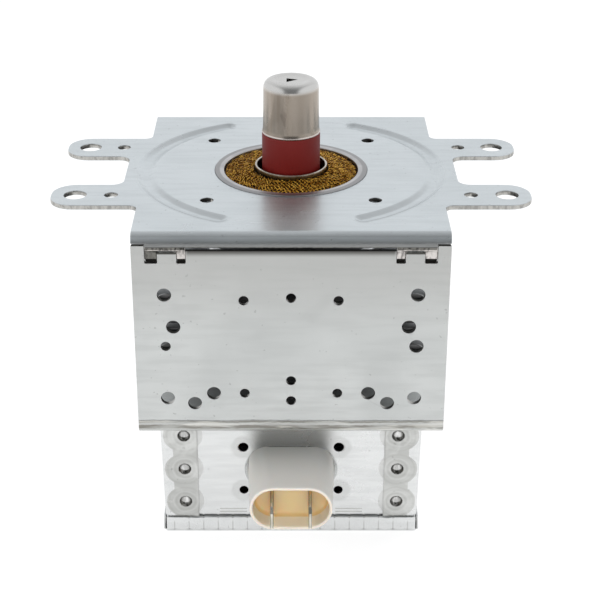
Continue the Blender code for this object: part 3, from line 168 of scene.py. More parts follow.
class Shade:
    """A material being built: each method adds one node and gives its output."""

    def __init__(self, name, colour, roughness, metallic=0.0):
        self.material = bpy.data.materials.new(name)
        self.material.use_nodes = True
        self.tree = self.material.node_tree
        self.shader = self.tree.nodes["Principled BSDF"]
        self.set("Base Color", colour)
        self.set("Roughness", roughness)
        self.set("Metallic", metallic)
        self.place = self.tree.nodes.new("ShaderNodeTexCoord").outputs["Object"]
        self.material.diffuse_color = (0.6, 0.6, 0.6, 1.0)

    @classmethod
    def reopen(cls, material):
        """Take up a finished material again, to add to it."""
        shade = cls.__new__(cls)
        shade.material = material
        shade.tree = material.node_tree
        shade.shader = shade.tree.nodes["Principled BSDF"]
        shade.place = shade.tree.nodes.new("ShaderNodeTexCoord").outputs["Object"]
        return shade

    def feed(self, socket, value):
        if isinstance(value, bpy.types.NodeSocket):
            self.tree.links.new(value, socket)
        elif isinstance(value, tuple) and len(value) == 3 and socket.type == "RGBA":
            socket.default_value = (*value, 1.0)
        else:
            socket.default_value = value

    def set(self, name, value):
        self.feed(self.shader.inputs[name], value)

    def add(self, kind, settings, *inputs):
        node = self.tree.nodes.new(kind)
        for key, value in settings.items():
            setattr(node, key, value)
        for key, value in inputs:
            self.feed(node.inputs[key], value)
        return node

    def stretched(self, stretch):
        if stretch is None:
            return self.place
        return self.add("ShaderNodeMapping", {}, ("Vector", self.place), ("Scale", stretch)).outputs[0]

    def noise(self, scale, detail=3.0, stretch=None, distortion=0.0):
        return self.add("ShaderNodeTexNoise", {}, ("Vector", self.stretched(stretch)), ("Scale", scale),
                        ("Detail", detail), ("Distortion", distortion)).outputs[0]

    def cells(self, scale, stretch=None, feature="F1"):
        return self.add("ShaderNodeTexVoronoi", {"feature": feature}, ("Vector", self.stretched(stretch)),
                        ("Scale", scale)).outputs["Distance"]

    def axis(self, name):
        return self.add("ShaderNodeSeparateXYZ", {}, ("Vector", self.place)).outputs[name]

    def span(self, value, low, high, to_low=0.0, to_high=1.0):
        node = self.add("ShaderNodeMapRange", {"interpolation_type": "SMOOTHSTEP"}, ("Value", value),
                        ("From Min", low), ("From Max", high), ("To Min", to_low), ("To Max", to_high))
        return node.outputs[0]

    def maths(self, operation, first, second=0.0):
        return self.add("ShaderNodeMath", {"operation": operation}, (0, first), (1, second)).outputs[0]

    def mix(self, fac, first, second, blend="MIX"):
        node = self.tree.nodes.new("ShaderNodeMix")
        node.data_type = "RGBA"
        node.blend_type = blend
        self.feed(node.inputs[0], fac)
        self.feed(node.inputs[6], first)
        self.feed(node.inputs[7], second)
        return node.outputs[2]

    def facing(self, name):
        """Give how squarely a face looks along an axis."""
        normal = self.add("ShaderNodeNewGeometry", {}).outputs["Normal"]
        return self.maths("ABSOLUTE", self.add("ShaderNodeSeparateXYZ", {}, ("Vector", normal)).outputs[name])

    def brushed(self, normal, amount):
        """Tilt a normal by the fine rolling grain, which smears reflections along the grain's cross."""
        grain = self.noise(42000.0, 1.0, (0.10, 1.0, 1.0))
        tilt = self.maths("MULTIPLY", self.maths("SUBTRACT", grain, 0.5), amount)
        push = self.add("ShaderNodeCombineXYZ", {}, ("Y", tilt), ("Z", tilt)).outputs[0]
        tilted = self.add("ShaderNodeVectorMath", {"operation": "ADD"}, (0, normal), (1, push)).outputs[0]
        return self.add("ShaderNodeVectorMath", {"operation": "NORMALIZE"}, (0, tilted)).outputs[0]

    def bump(self, height, distance, under=None):
        node = self.add("ShaderNodeBump", {}, ("Height", height), ("Distance", distance))
        if under is not None:
            self.feed(node.inputs["Normal"], under)
        return node.outputs[0]


def sheet_metal(name, dark, light, roughness, metallic, smudge=0.5, grain=0.0, sway=0.12 * MM,
                rolling=0.006 * MM):
    """Give a rolled and plated sheet: clouds, faint rolling lines, specks and hairline scratches."""
    shade = Shade(name, light, roughness, metallic)
    clouds = shade.noise(38.0, 5.0, distortion=0.6)
    rolled = shade.noise(520.0, 4.0, (0.12, 1.0, 1.0))
    fine = shade.noise(2600.0, 2.0)
    specks = shade.span(shade.noise(900.0, 1.0), 0.74, 0.78)
    scratches = shade.span(shade.noise(1100.0, 1.0, (0.05, 1.0, 1.0)), 0.72, 0.78)
    marks = shade.span(shade.noise(60.0, 5.0, (0.6, 1.0, 1.0), 1.8), 0.58, 0.74, 0.0, smudge)
    colour = shade.mix(shade.span(clouds, 0.3, 0.7), dark, light)
    streaks = shade.maths("MULTIPLY", shade.span(rolled, 0.42, 0.66), 0.35)
    colour = shade.mix(streaks, colour, tuple(0.88 * c for c in dark))
    colour = shade.mix(shade.maths("MULTIPLY", marks, 0.16), colour, tuple(0.8 * c for c in dark))
    colour = shade.mix(shade.maths("MULTIPLY", specks, 0.4), colour, tuple(0.45 * c for c in dark))
    shade.set("Base Color", colour)
    rough = shade.maths("ADD", shade.maths("MULTIPLY", clouds, 0.16), roughness - 0.08)
    rough = shade.maths("ADD", rough, shade.maths("MULTIPLY", marks, 0.08))
    rough = shade.maths("SUBTRACT", rough, shade.maths("MULTIPLY", scratches, 0.07))
    shade.set("Roughness", rough)
    normal = shade.bump(rolled, rolling)
    normal = shade.bump(fine, 0.0000022, normal)
    normal = shade.bump(clouds, sway, normal)
    if grain:
        normal = shade.brushed(normal, grain)
    shade.set("Normal", normal)
    return shade


def sheared_metal(name, colour, roughness=0.4, torn_tone=0.6):
    """Give the cut edge of a sheet: bright burnish, torn grey and short vertical tears."""
    shade = Shade(name, colour, roughness, 1.0)
    torn = shade.noise(900.0, 4.0, (1.0, 1.0, 0.35), 0.8)
    shade.set("Base Color", shade.mix(shade.span(torn, 0.35, 0.62), tuple(torn_tone * c for c in colour), colour))
    shade.set("Roughness", shade.maths("ADD", shade.maths("MULTIPLY", torn, 0.35), 0.2))
    shade.set("Normal", shade.bump(torn, 0.00006))
    return shade.material


def plate_finish():
    """Zinc on the plate: painted shade on the bead walls that face the front and over the bends towards the foot of the
    lips, and a painted shadow along the lips' lowest edge.
    """
    shade = sheet_metal("zinc_plate", (0.622, 0.665, 0.685), (0.68, 0.72, 0.742), 0.30, 0.95, smudge=0.5, grain=0.9,
                        sway=0.015 * MM, rolling=0.0004 * MM)
    colour = shade.shader.inputs["Base Color"].links[0].from_socket
    drop = shade.maths("SUBTRACT", PLATE_TOP, shade.axis("Z"))
    normal = shade.add("ShaderNodeNewGeometry", {}).outputs["Normal"]
    tilt = shade.add("ShaderNodeSeparateXYZ", {}, ("Vector", normal)).outputs["Y"]
    # painted shade on the walls of the beads that face the front
    bead_wall_shade = shade.maths("MULTIPLY", shade.span(tilt, -0.04, -0.26, 0.0, 0.46), shade.span(drop, 1.0 * MM, 0.8 * MM))
    bead_wall_shade = shade.maths("MULTIPLY", bead_wall_shade, shade.span(drop, 0.0, 0.04 * MM))
    colour = shade.mix(bead_wall_shade, colour, (0.34, 0.35, 0.355))
    # painted shade over the bends towards the foot of the lips, in place of their dark reflection
    foot = shade.span(drop, 1.1 * MM, 2.6 * MM, 0.0, 0.76)
    colour = shade.mix(foot, colour, (0.13, 0.124, 0.115))
    # painted shadow along the lips' lowest edge, at the seam over the wall
    under = shade.span(drop, 2.95 * MM, 3.2 * MM, 0.0, 0.75)
    shade.set("Base Color", shade.mix(under, colour, (0.04, 0.04, 0.036)))
    return shade.material


def wall_finish():
    """Zinc on the frame: painted shade under the plate's lip, painted shadow lines at the seam and over the tabs, and
    at the lower bend rubbed scuffs with painted dark bands and painted highlights in place of its reflections.
    """
    shade = sheet_metal("zinc_wall", (0.53, 0.545, 0.538), (0.61, 0.625, 0.617), 0.42, 0.92, smudge=0.5, grain=0.5)
    colour = shade.shader.inputs["Base Color"].links[0].from_socket
    normal = shade.shader.inputs["Normal"].links[0].from_socket
    level = shade.axis("Z")
    below = shade.maths("SUBTRACT", PLATE_TOP - PLATE_LIP - SEAM, level)
    shaded = shade.span(below, 26.0 * MM, 1.0 * MM, 0.0, 0.55)
    colour = shade.mix(shaded, colour, tuple(0.62 * c for c in (0.66, 0.655, 0.63)))
    between = shade.span(shade.maths("ABSOLUTE", shade.axis("X")), 25.2 * MM, 24.4 * MM)
    # painted shadow just under the plate's lip, between the notches
    seam_shadow = shade.maths("MULTIPLY", shade.span(below, 1.7 * MM, 0.1 * MM, 0.0, 0.85), between)
    colour = shade.mix(seam_shadow, colour, (0.06, 0.056, 0.05))
    beside_tab = shade.maths("ABSOLUTE", shade.maths("SUBTRACT", shade.maths("ABSOLUTE", shade.axis("X")), TAB_X))
    # painted shadow line along each tab's top, just under the plate
    tab_shadow_line = shade.span(level, PLATE_TOP - SLOT_DEPTH - GAP - 0.5 * MM, PLATE_TOP - SLOT_DEPTH - GAP - 0.2 * MM, 0.0, 0.9)
    tab_shadow_line = shade.maths("MULTIPLY", tab_shadow_line, shade.span(beside_tab, 0.5 * TAB_WIDTH + 0.1 * MM, 0.5 * TAB_WIDTH))
    colour = shade.mix(tab_shadow_line, colour, (0.05, 0.048, 0.042))
    height = shade.maths("SUBTRACT", level, YOKE_UNDERSIDE)
    rubbed = shade.noise(420.0, 5.0, (0.16, 1.0, 1.8), 0.6)
    scored = shade.noise(1500.0, 3.0, (0.10, 1.0, 1.0))
    waved = shade.maths("ADD", height, shade.maths("MULTIPLY", shade.noise(60.0, 2.0), 0.0006))
    waved = shade.maths("ADD", waved, shade.maths("MULTIPLY", shade.noise(700.0, 2.0), 0.0004))
    outer = shade.span(shade.maths("ABSOLUTE", shade.axis("Y")), 0.5 * YOKE_DEPTH - 1.2 * MM, 0.5 * YOKE_DEPTH - 0.9 * MM)
    # the lower bend: painted darker, with dark bands scored by a fine texture in place of its reflections of the shaded
    # floor, and rubbed streaks lightened as painted highlights
    low = shade.maths("MULTIPLY", shade.span(waved, 3.5 * MM, 3.2 * MM), outer)
    colour = shade.mix(shade.maths("MULTIPLY", low, 0.4), colour, (0.50, 0.495, 0.47))
    for start, end, tone in ((3.1, 2.8, (0.26, 0.255, 0.23)), (1.95, 1.1, (0.24, 0.23, 0.205))):
        upper = shade.span(waved, (start + 0.2) * MM, start * MM)
        lower = shade.span(waved, (end - 0.2) * MM, end * MM)
        band = shade.maths("MULTIPLY", shade.maths("MULTIPLY", upper, lower), shade.span(scored, 0.34, 0.58, 0.35, 0.9))
        colour = shade.mix(shade.maths("MULTIPLY", band, outer), colour, tone)
    rubbed_highlight = shade.maths("MULTIPLY", low, shade.span(rubbed, 0.50, 0.64))
    colour = shade.mix(shade.maths("MULTIPLY", rubbed_highlight, 0.45), colour, (0.84, 0.83, 0.78))
    shade.set("Base Color", colour)
    scuffs = shade.maths("MULTIPLY", low, rubbed)
    shade.set("Normal", shade.bump(scuffs, 0.00030, normal))
    return shade.material


def bright_sheet(name):
    return sheet_metal(name, (0.69, 0.70, 0.70), (0.765, 0.775, 0.772), 0.26, 0.95, smudge=0.5)


def panel_finish():
    """Bright sheet, dulled round the vents, with painted shade above the socket."""
    shade = bright_sheet("aluminised_panel")
    colour = shade.shader.inputs["Base Color"].links[0].from_socket
    front = shade.span(shade.axis("Y"), -0.5 * MM, -2.0 * MM)
    across = shade.maths("ABSOLUTE", shade.axis("X"))
    level = shade.axis("Z")
    worn = shade.noise(500.0, 3.0)
    for height in VENT_Z:
        away = shade.maths("POWER", shade.maths("SUBTRACT", across, VENT_X), 2.0)
        away = shade.maths("ADD", away, shade.maths("POWER", shade.maths("SUBTRACT", level, height), 2.0))
        away = shade.maths("ADD", shade.maths("SQRT", away), shade.maths("MULTIPLY", worn, 0.0008))
        halo = shade.maths("MULTIPLY", shade.span(away, 4.1 * MM, 3.1 * MM, 0.0, 0.35), front)
        colour = shade.mix(halo, colour, (0.47, 0.475, 0.465))
    # painted shade above the socket, in place of the socket's dim reflection in the panel
    over = shade.maths("MULTIPLY", shade.span(across, 13.0 * MM, 7.0 * MM), shade.span(level, 23.0 * MM, 26.0 * MM))
    over = shade.maths("MULTIPLY", shade.maths("MULTIPLY", over, front), 0.62)
    shade.set("Base Color", shade.mix(over, colour, (0.22, 0.22, 0.21)))
    return shade.material


def clinch_distance(shade):
    """Give the distance from the nearest clinch, and how far beside it."""
    beside = shade.maths("SUBTRACT", shade.maths("ABSOLUTE", shade.axis("X")), BOX_HIGH.x - CLINCH_INSET)
    nearest = None
    for drop in CLINCH_DROPS:
        above = shade.maths("SUBTRACT", shade.axis("Z"), BOX_HIGH.z - drop)
        squares = shade.maths("ADD", shade.maths("POWER", beside, 2.0), shade.maths("POWER", above, 2.0))
        away = shade.maths("SQRT", squares)
        nearest = away if nearest is None else shade.maths("MINIMUM", nearest, away)
    return nearest, shade.maths("ABSOLUTE", beside)


def coined_finish():
    """Sheet dulled by the clinching tool, with a faint ring round each cup."""
    shade = sheet_metal("coined_sheet", (0.47, 0.475, 0.46), (0.60, 0.605, 0.59), 0.34, 0.9, smudge=1.0)
    colour = shade.shader.inputs["Base Color"].links[0].from_socket
    away, _ = clinch_distance(shade)
    away = shade.maths("ADD", away, shade.maths("MULTIPLY", shade.noise(300.0, 3.0), 0.0008))
    for start, full, end, depth, tone in ((2.4, 2.85, 3.3, 0.28, (0.33, 0.33, 0.31)), (3.2, 3.5, 3.9, 0.22, (0.74, 0.745, 0.73)),
                                          (4.3, 4.8, 5.2, 0.25, (0.36, 0.36, 0.34))):
        ring = shade.maths("MULTIPLY", shade.span(away, start * MM, full * MM), shade.span(away, end * MM, full * MM))
        colour = shade.mix(shade.maths("MULTIPLY", ring, depth), colour, tone)
    patches = shade.span(shade.noise(170.0, 3.0, distortion=0.5), 0.52, 0.66, 0.0, 0.5)
    shade.set("Base Color", shade.mix(patches, colour, (0.70, 0.705, 0.69)))
    return shade.material


def cup_finish(name, dark, light, side_shade):
    """Stretched metal in a clinch: streaked down its wall, with painted shade towards its sides."""
    shade = Shade(name, light, 0.34, 1.0)
    streaks = shade.noise(1300.0, 2.0, (1.0, 1.0, 0.2))
    colour = shade.mix(shade.span(streaks, 0.42, 0.62), dark, light)
    _, beside = clinch_distance(shade)
    colour = shade.mix(shade.span(beside, 0.35 * MM, 1.3 * MM, 0.0, 0.75), colour, side_shade)
    shade.set("Base Color", colour)
    shade.set("Roughness", shade.maths("ADD", shade.maths("MULTIPLY", streaks, 0.2), 0.25))
    shade.set("Normal", shade.bump(streaks, 0.00001))
    return shade.material


def skirt_finish():
    """Bright sheet with the faint lines between the lid's fingers."""
    shade = bright_sheet("aluminised_skirt")
    colour = shade.shader.inputs["Base Color"].links[0].from_socket
    level = shade.maths("SUBTRACT", shade.axis("Z"), LID_LOW.z)
    skirt = shade.maths("MULTIPLY", shade.span(level, 0.3 * MM, 0.8 * MM), shade.span(level, 3.6 * MM, 2.6 * MM))
    for along, across in (("X", "Y"), ("Y", "X")):
        place = shade.maths("PINGPONG", shade.maths("DIVIDE", shade.axis(along), FINGER_PITCH), 0.5)
        line = shade.maths("MULTIPLY", shade.span(place, 0.06, 0.02), shade.span(shade.facing(across), 0.6, 0.8))
        colour = shade.mix(shade.maths("MULTIPLY", shade.maths("MULTIPLY", line, skirt), 0.5), colour, (0.40, 0.40, 0.39))
    shade.set("Base Color", colour)
    return shade.material


def cap_finish():
    """Drawn nickel: a stained wall with streaks and spots, painted shade on the faces turned to the front and back, and
    a lighter top.
    """
    shade = Shade("drawn_nickel", (0.36, 0.32, 0.275), 0.28, 1.0)
    drawn = shade.noise(700.0, 4.0, (1.0, 1.0, 0.04))
    smears = shade.span(shade.noise(150.0, 4.0, (1.0, 1.0, 0.4), 1.0), 0.50, 0.68)
    spots = shade.span(shade.noise(300.0, 2.0, (1.0, 1.0, 0.5)), 0.68, 0.74)
    colour = shade.mix(smears, (0.365, 0.318, 0.27), (0.29, 0.245, 0.20))
    colour = shade.mix(shade.maths("MULTIPLY", shade.span(drawn, 0.4, 0.65), 0.3), colour, (0.43, 0.39, 0.35))
    colour = shade.mix(shade.maths("MULTIPLY", spots, 0.5), colour, (0.16, 0.13, 0.11))
    # painted shade on the faces turned to the front and back
    colour = shade.mix(shade.span(shade.facing("Y"), 0.6, 0.98, 0.0, 0.45), colour, (0.17, 0.145, 0.12))
    lighter_top = shade.span(shade.axis("Z"), CAP_HIGH.z - 2.6 * MM, CAP_HIGH.z - 1.2 * MM)
    colour = shade.mix(lighter_top, colour, (0.61, 0.60, 0.585))
    rim = shade.span(shade.axis("Z"), CAP_LOW.z + 0.35 * MM, CAP_LOW.z + 0.2 * MM)
    colour = shade.mix(rim, colour, (0.70, 0.62, 0.58))
    shade.set("Base Color", colour)
    shade.set("Roughness", shade.maths("ADD", shade.maths("MULTIPLY", smears, 0.12), 0.24))
    shade.set("Normal", shade.bump(drawn, 0.000006, shade.bump(smears, 0.00002)))
    return shade.material


def ceramic_finish(name, dark, light):
    """Matt fired ceramic with a fine granular skin."""
    shade = Shade(name, light, 0.5)
    shade.set("Specular IOR Level", 0.33)
    clouds = shade.noise(130.0, 4.0)
    grit = shade.noise(3800.0, 2.0)
    dots = shade.span(shade.noise(800.0, 1.0), 0.70, 0.74)
    colour = shade.mix(clouds, dark, light)
    shade.set("Base Color", shade.mix(shade.maths("MULTIPLY", dots, 0.3), colour, tuple(0.6 * c for c in dark)))
    shade.set("Roughness", shade.maths("ADD", shade.maths("MULTIPLY", clouds, 0.15), 0.42))
    shade.set("Normal", shade.bump(grit, 0.000006))
    return shade.material


def turned_finish(name, dark, light, roughness, metallic=1.0):
    """Plain turned or stamped metal with a tarnished bloom."""
    shade = Shade(name, light, roughness, metallic)
    bloom = shade.noise(170.0, 5.0, distortion=0.8)
    fine = shade.noise(2200.0, 2.0, (1.0, 1.0, 4.0))
    shade.set("Base Color", shade.mix(shade.span(bloom, 0.35, 0.65), dark, light))
    shade.set("Roughness", shade.maths("ADD", shade.maths("MULTIPLY", bloom, 0.2), roughness - 0.1))
    shade.set("Normal", shade.bump(fine, 0.000005))
    return shade.material


def ring_finish():
    """Pressed ring: lighter inside, with a grey outer band."""
    metal = turned_finish("ring_steel", (0.44, 0.435, 0.44), (0.56, 0.55, 0.555), 0.34)
    return banded(metal, "radius", 18.75 * MM, 18.35 * MM, 0.7, (0.235, 0.235, 0.24))


def neck_finish():
    """Steel tube: a bright rolled lip over a tarnished wall."""
    metal = turned_finish("neck_steel", (0.40, 0.365, 0.31), (0.66, 0.62, 0.57), 0.3)
    return banded(metal, "Z", NECK_HIGH.z - 0.5 * MM, NECK_HIGH.z - 0.22 * MM, 0.85, (0.15, 0.12, 0.075))


def banded(material, along, full, none, depth, tone):
    """Tint a finished metal beyond a radius or below a level."""
    shade = Shade.reopen(material)
    colour = shade.shader.inputs["Base Color"].links[0].from_socket
    if along == "reach":
        place = shade.maths("ABSOLUTE", shade.axis("Y"))
    elif along == "radius":
        squares = [shade.maths("POWER", shade.axis(name), 2.0) for name in ("X", "Y")]
        place = shade.maths("SQRT", shade.maths("ADD", *squares))
    else:
        place = shade.axis(along)
    shade.set("Base Color", shade.mix(shade.span(place, none, full, 0.0, depth), colour, tone))
    return material


def ferrite_finish():
    """Sintered ferrite: charcoal, powdery, with small bright chips."""
    shade = Shade("ferrite", (0.05, 0.05, 0.055), 0.62)
    clouds = shade.noise(90.0, 5.0)
    grit = shade.noise(1500.0, 4.0)
    chips = shade.span(shade.noise(600.0, 2.0), 0.68, 0.73)
    colour = shade.mix(clouds, (0.035, 0.036, 0.04), (0.085, 0.085, 0.09))
    shade.set("Base Color", shade.mix(shade.maths("MULTIPLY", chips, 0.5), colour, (0.16, 0.16, 0.165)))
    shade.set("Roughness", shade.maths("ADD", shade.maths("MULTIPLY", grit, 0.3), 0.45))
    shade.set("Normal", shade.bump(grit, 0.00004))
    return shade.material


def brass_finish(name, darkening, bright):
    """Knitted brass: bright crowns, olive tarnish and copper-red patches."""
    shade = Shade(name, bright, 0.3, 1.0)
    patches = shade.noise(900.0, 3.0)
    tone = shade.noise(2200.0, 2.0)
    colour = shade.mix(shade.span(patches, 0.38, 0.62), darkening, bright)
    colour = shade.mix(shade.span(tone, 0.50, 0.64), colour, tuple(0.45 * c for c in darkening))
    shade.set("Base Color", colour)
    shade.set("Roughness", shade.maths("ADD", shade.maths("MULTIPLY", tone, 0.2), 0.22))
    shade.set("Normal", shade.bump(tone, 0.00001))
    return shade.material


def core_finish():
    """Painted shade for the dark inside of the gasket, seen between its wires."""
    shade = Shade("gasket_core_painted_shade", (0.02, 0.012, 0.004), 0.7, 0.2)
    knots = shade.cells(1500.0)
    shade.set("Base Color", shade.mix(shade.span(knots, 0.2, 0.6), (0.035, 0.02, 0.006), (0.006, 0.004, 0.002)))
    shade.set("Roughness", shade.maths("ADD", shade.maths("MULTIPLY", knots, 0.2), 0.45))
    shade.set("Normal", shade.bump(knots, 0.0002))
    return shade.material


def plastic_finish(name, dark, light, roughness=0.38, glow=0.0, depth=1.5 * MM):
    """Moulded plastic with a faint spark-eroded skin and soft depth."""
    shade = Shade(name, light, roughness)
    clouds = shade.noise(70.0, 3.0)
    skin = shade.noise(2600.0, 2.0)
    shade.set("Base Color", shade.mix(clouds, dark, light))
    shade.set("Roughness", shade.maths("ADD", shade.maths("MULTIPLY", skin, 0.1), roughness - 0.05))
    shade.set("Normal", shade.bump(skin, 0.000004))
    if glow:
        shade.set("Subsurface Weight", glow)
        shade.set("Subsurface Radius", (1.0, 0.55, 0.3))
        shade.set("Subsurface Scale", depth)
    return shade.material


def cream_finish():
    """Cream moulding, with painted shade on top towards the box, under the yoke."""
    material = plastic_finish("cream_plastic", (0.66, 0.64, 0.60), (0.71, 0.69, 0.65), 0.42, 0.15)
    shade = Shade.reopen(material)
    colour = shade.shader.inputs["Base Color"].links[0].from_socket
    back = shade.span(shade.axis("Y"), SOCKET_LOW.y + 2.0 * MM, BOX_LOW.y, 0.0, 0.55)
    # painted shade on the top faces towards the box, under the yoke
    darkening = shade.maths("MULTIPLY", back, shade.span(shade.facing("Z"), 0.3, 0.9))
    shade.set("Base Color", shade.mix(darkening, colour, (0.34, 0.345, 0.33)))
    return material


ZINC = plate_finish()
WALL = wall_finish()
SHEARED = sheared_metal("sheared_edge", (0.52, 0.51, 0.485))
# a torn edge with painted shade, for the left outer lugs and the lips' darkened edges
TORN_SHADE = sheared_metal("torn_edge_painted_shade", (0.19, 0.185, 0.17), 0.45, 0.2)
CRUSHED = sheared_metal("crushed_edge", (0.68, 0.645, 0.62), 0.4, 0.35)
SHADED = turned_finish("shaded_edge", (0.018, 0.017, 0.015), (0.04, 0.038, 0.034), 0.6, 0.5)
BRIGHT = bright_sheet("aluminised_sheet").material
PANEL = panel_finish()
SKIRT = skirt_finish()
BRIGHT_EDGE = sheared_metal("sheared_bright", (0.62, 0.62, 0.61), 0.35)
COINED = coined_finish()
PRESSED = sheet_metal("pressed_sheet", (0.58, 0.585, 0.575), (0.68, 0.685, 0.675), 0.32, 0.9, smudge=0.6).material
# painted shade on the low side of each cup, dark as the wall of a recess in shade
CUP_WALL_SHADE = cup_finish("cup_wall_painted_shade", (0.06, 0.058, 0.052), (0.36, 0.355, 0.34), (0.16, 0.155, 0.145))
# painted highlight on each cup's floor, bright in the middle with painted shade towards its sides
CUP_FLOOR_HIGHLIGHT = cup_finish("cup_floor_painted_highlight", (0.50, 0.50, 0.49), (0.80, 0.80, 0.79), (0.26, 0.26, 0.25))
NICKEL = cap_finish()
PINK = ceramic_finish("pink_ceramic", (0.130, 0.006, 0.004), (0.172, 0.008, 0.006))
WHITE_CERAMIC = ceramic_finish("capacitor_ceramic", (0.08, 0.16, 0.30), (0.12, 0.22, 0.38))
DULL_STEEL = neck_finish()
RING_STEEL = ring_finish()
STEEL = turned_finish("plain_steel", (0.34, 0.33, 0.32), (0.50, 0.49, 0.47), 0.4)
COPPER = turned_finish("copper", (0.48, 0.22, 0.12), (0.74, 0.38, 0.24), 0.34)
TUNGSTEN = turned_finish("tungsten", (0.14, 0.14, 0.15), (0.24, 0.24, 0.25), 0.42)
TIN = turned_finish("tinned_brass", (0.52, 0.50, 0.43), (0.68, 0.66, 0.58), 0.24)
# painted shade: a darker copy of the tinned brass for the terminals' flat sides
TIN_SIDE_SHADE = turned_finish("tinned_side_painted_shade", (0.20, 0.185, 0.15), (0.34, 0.32, 0.27), 0.3)
# painted shade on the fins towards their ends, near the yoke's walls
ALUMINIUM = banded(turned_finish("fin_aluminium", (0.56, 0.565, 0.57), (0.70, 0.705, 0.71), 0.42),
                   "reach", 36.5 * MM, 31.0 * MM, 0.8, (0.13, 0.13, 0.13))
# painted shade on the fins' end tabs, seen dark through the wall's holes
FIN_TAB_SHADE = turned_finish("fin_tab_painted_shade", (0.13, 0.13, 0.13), (0.20, 0.20, 0.20), 0.5)
FIN_EDGE = sheared_metal("fin_edge", (0.36, 0.36, 0.355), 0.4)
FERRITE = ferrite_finish()
BRASS = brass_finish("brass_wire", (0.42, 0.175, 0.012), (1.0, 0.61, 0.105))
# painted shade: the lower layer of wire, seen under the upper one
SHADED_BRASS = brass_finish("brass_wire_painted_shade", (0.07, 0.035, 0.008), (0.16, 0.09, 0.02))
# painted shade between the gasket's wires
CORE = core_finish()
CREAM = cream_finish()
# painted light: the rim and the cavity's walls, corners and floor take warmer and lighter creams than the body, in
# place of light passing through and between the cream plastic's walls
RIM = plastic_finish("rim_plastic", (0.84, 0.745, 0.645), (0.88, 0.79, 0.70), 0.42, 0.3, 1.0 * MM)
PEACH = plastic_finish("inner_plastic", (0.985, 0.86, 0.66), (0.99, 0.90, 0.76), 0.45, 0.3, 0.5 * MM)
AMBER = plastic_finish("corner_plastic", (0.84, 0.63, 0.27), (0.87, 0.69, 0.34), 0.45, 0.6, 2.0 * MM)
TAN = plastic_finish("floor_plastic", (0.86, 0.67, 0.37), (0.90, 0.72, 0.42), 0.5, 0.8, 5.0 * MM)


# Meshes

def show(name, bm, materials, nodes, crease=35.0, even=False):
    """Make a piece of the object from a mesh: smooth but for its creases, riding on the body."""
    mesh = bpy.data.meshes.new(name)
    bm.to_mesh(mesh)
    bm.free()
    piece = bpy.data.objects.new(name, mesh)
    bpy.context.scene.collection.objects.link(piece)
    for material in materials:
        mesh.materials.append(material)
    mesh.shade_smooth()
    mesh.set_sharp_from_angle(angle=math.radians(crease))
    if even:
        weighted = piece.modifiers.new("even", "WEIGHTED_NORMAL")
        weighted.weight = 90
        weighted.keep_sharp = True
    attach(piece, "root")
    if nodes:
        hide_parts(*nodes)
    return piece


def circle(x, y, radius, sides=40):
    turns = [2.0 * math.pi * i / sides for i in range(sides)]
    return [(x + radius * math.cos(a), y + radius * math.sin(a)) for a in turns]


def rounded(corners, steps=8):
    """Give an outline whose corners (x, y, radius) are rounded by arcs."""
    outline = []
    count = len(corners)
    for i, (x, y, radius) in enumerate(corners):
        if radius == 0.0:
            outline.append((x, y))
            continue
        before = corners[i - 1]
        after = corners[(i + 1) % count]
        into = math.atan2(y - before[1], x - before[0])
        out = math.atan2(after[1] - y, after[0] - x)
        turn = math.remainder(out - into, 2.0 * math.pi)
        setback = radius * math.tan(0.5 * abs(turn))
        way = math.copysign(1.0, turn)
        centre_x = x - setback * math.cos(into) - way * radius * math.sin(into)
        centre_y = y - setback * math.sin(into) + way * radius * math.cos(into)
        for k in range(steps + 1):
            angle = into - way * 0.5 * math.pi + turn * k / steps
            outline.append((centre_x + radius * math.cos(angle), centre_y + radius * math.sin(angle)))
    return outline


def mirrored(right_half):
    return right_half + [(-x, y, radius) for x, y, radius in reversed(right_half)]


def offset(outline, distance):
    """Move an outline to its left by a distance, corner by corner."""
    points = np.array(outline)
    ahead = np.roll(points, -1, axis=0) - points
    ahead /= np.linalg.norm(ahead, axis=1)[:, None]
    behind = np.roll(ahead, 1, axis=0)
    left = np.stack([-(ahead[:, 1] + behind[:, 1]), ahead[:, 0] + behind[:, 0]], axis=1)
    scale = np.maximum(0.5 * (left ** 2).sum(axis=1), 0.6)
    return [tuple(p) for p in points + left * (distance / scale)[:, None]]


def turns_left(outline):
    points = np.array(outline)
    ahead = np.roll(points, -1, axis=0)
    return (points[:, 0] * ahead[:, 1] - ahead[:, 0] * points[:, 1]).sum() > 0.0


def segments_of(outlines):
    starts = np.concatenate([np.array(o) for o in outlines])
    ends = np.concatenate([np.roll(np.array(o), -1, axis=0) for o in outlines])
    return starts, ends


def inside(outlines, points):
    """Tell which points lie inside a set of outlines, holes counted out."""
    starts, ends = segments_of(outlines)
    odd = np.zeros(len(points), bool)
    for (x0, y0), (x1, y1) in zip(starts, ends):
        if y0 == y1:
            continue
        spans = (y0 > points[:, 1]) != (y1 > points[:, 1])
        reach = x0 + (x1 - x0) * (points[:, 1] - y0) / (y1 - y0)
        odd ^= spans & (points[:, 0] < reach)
    return odd


def distance_to(outlines, points):
    """Give each point's distance from the nearest outline."""
    starts, ends = segments_of(outlines)
    nearest = np.full(len(points), np.inf)
    for a, b in zip(starts, ends):
        along = b - a
        share = np.clip(((points - a) @ along) / max(along @ along, 1e-18), 0.0, 1.0)
        nearest = np.minimum(nearest, np.linalg.norm(points - a - share[:, None] * along, axis=1))
    return nearest


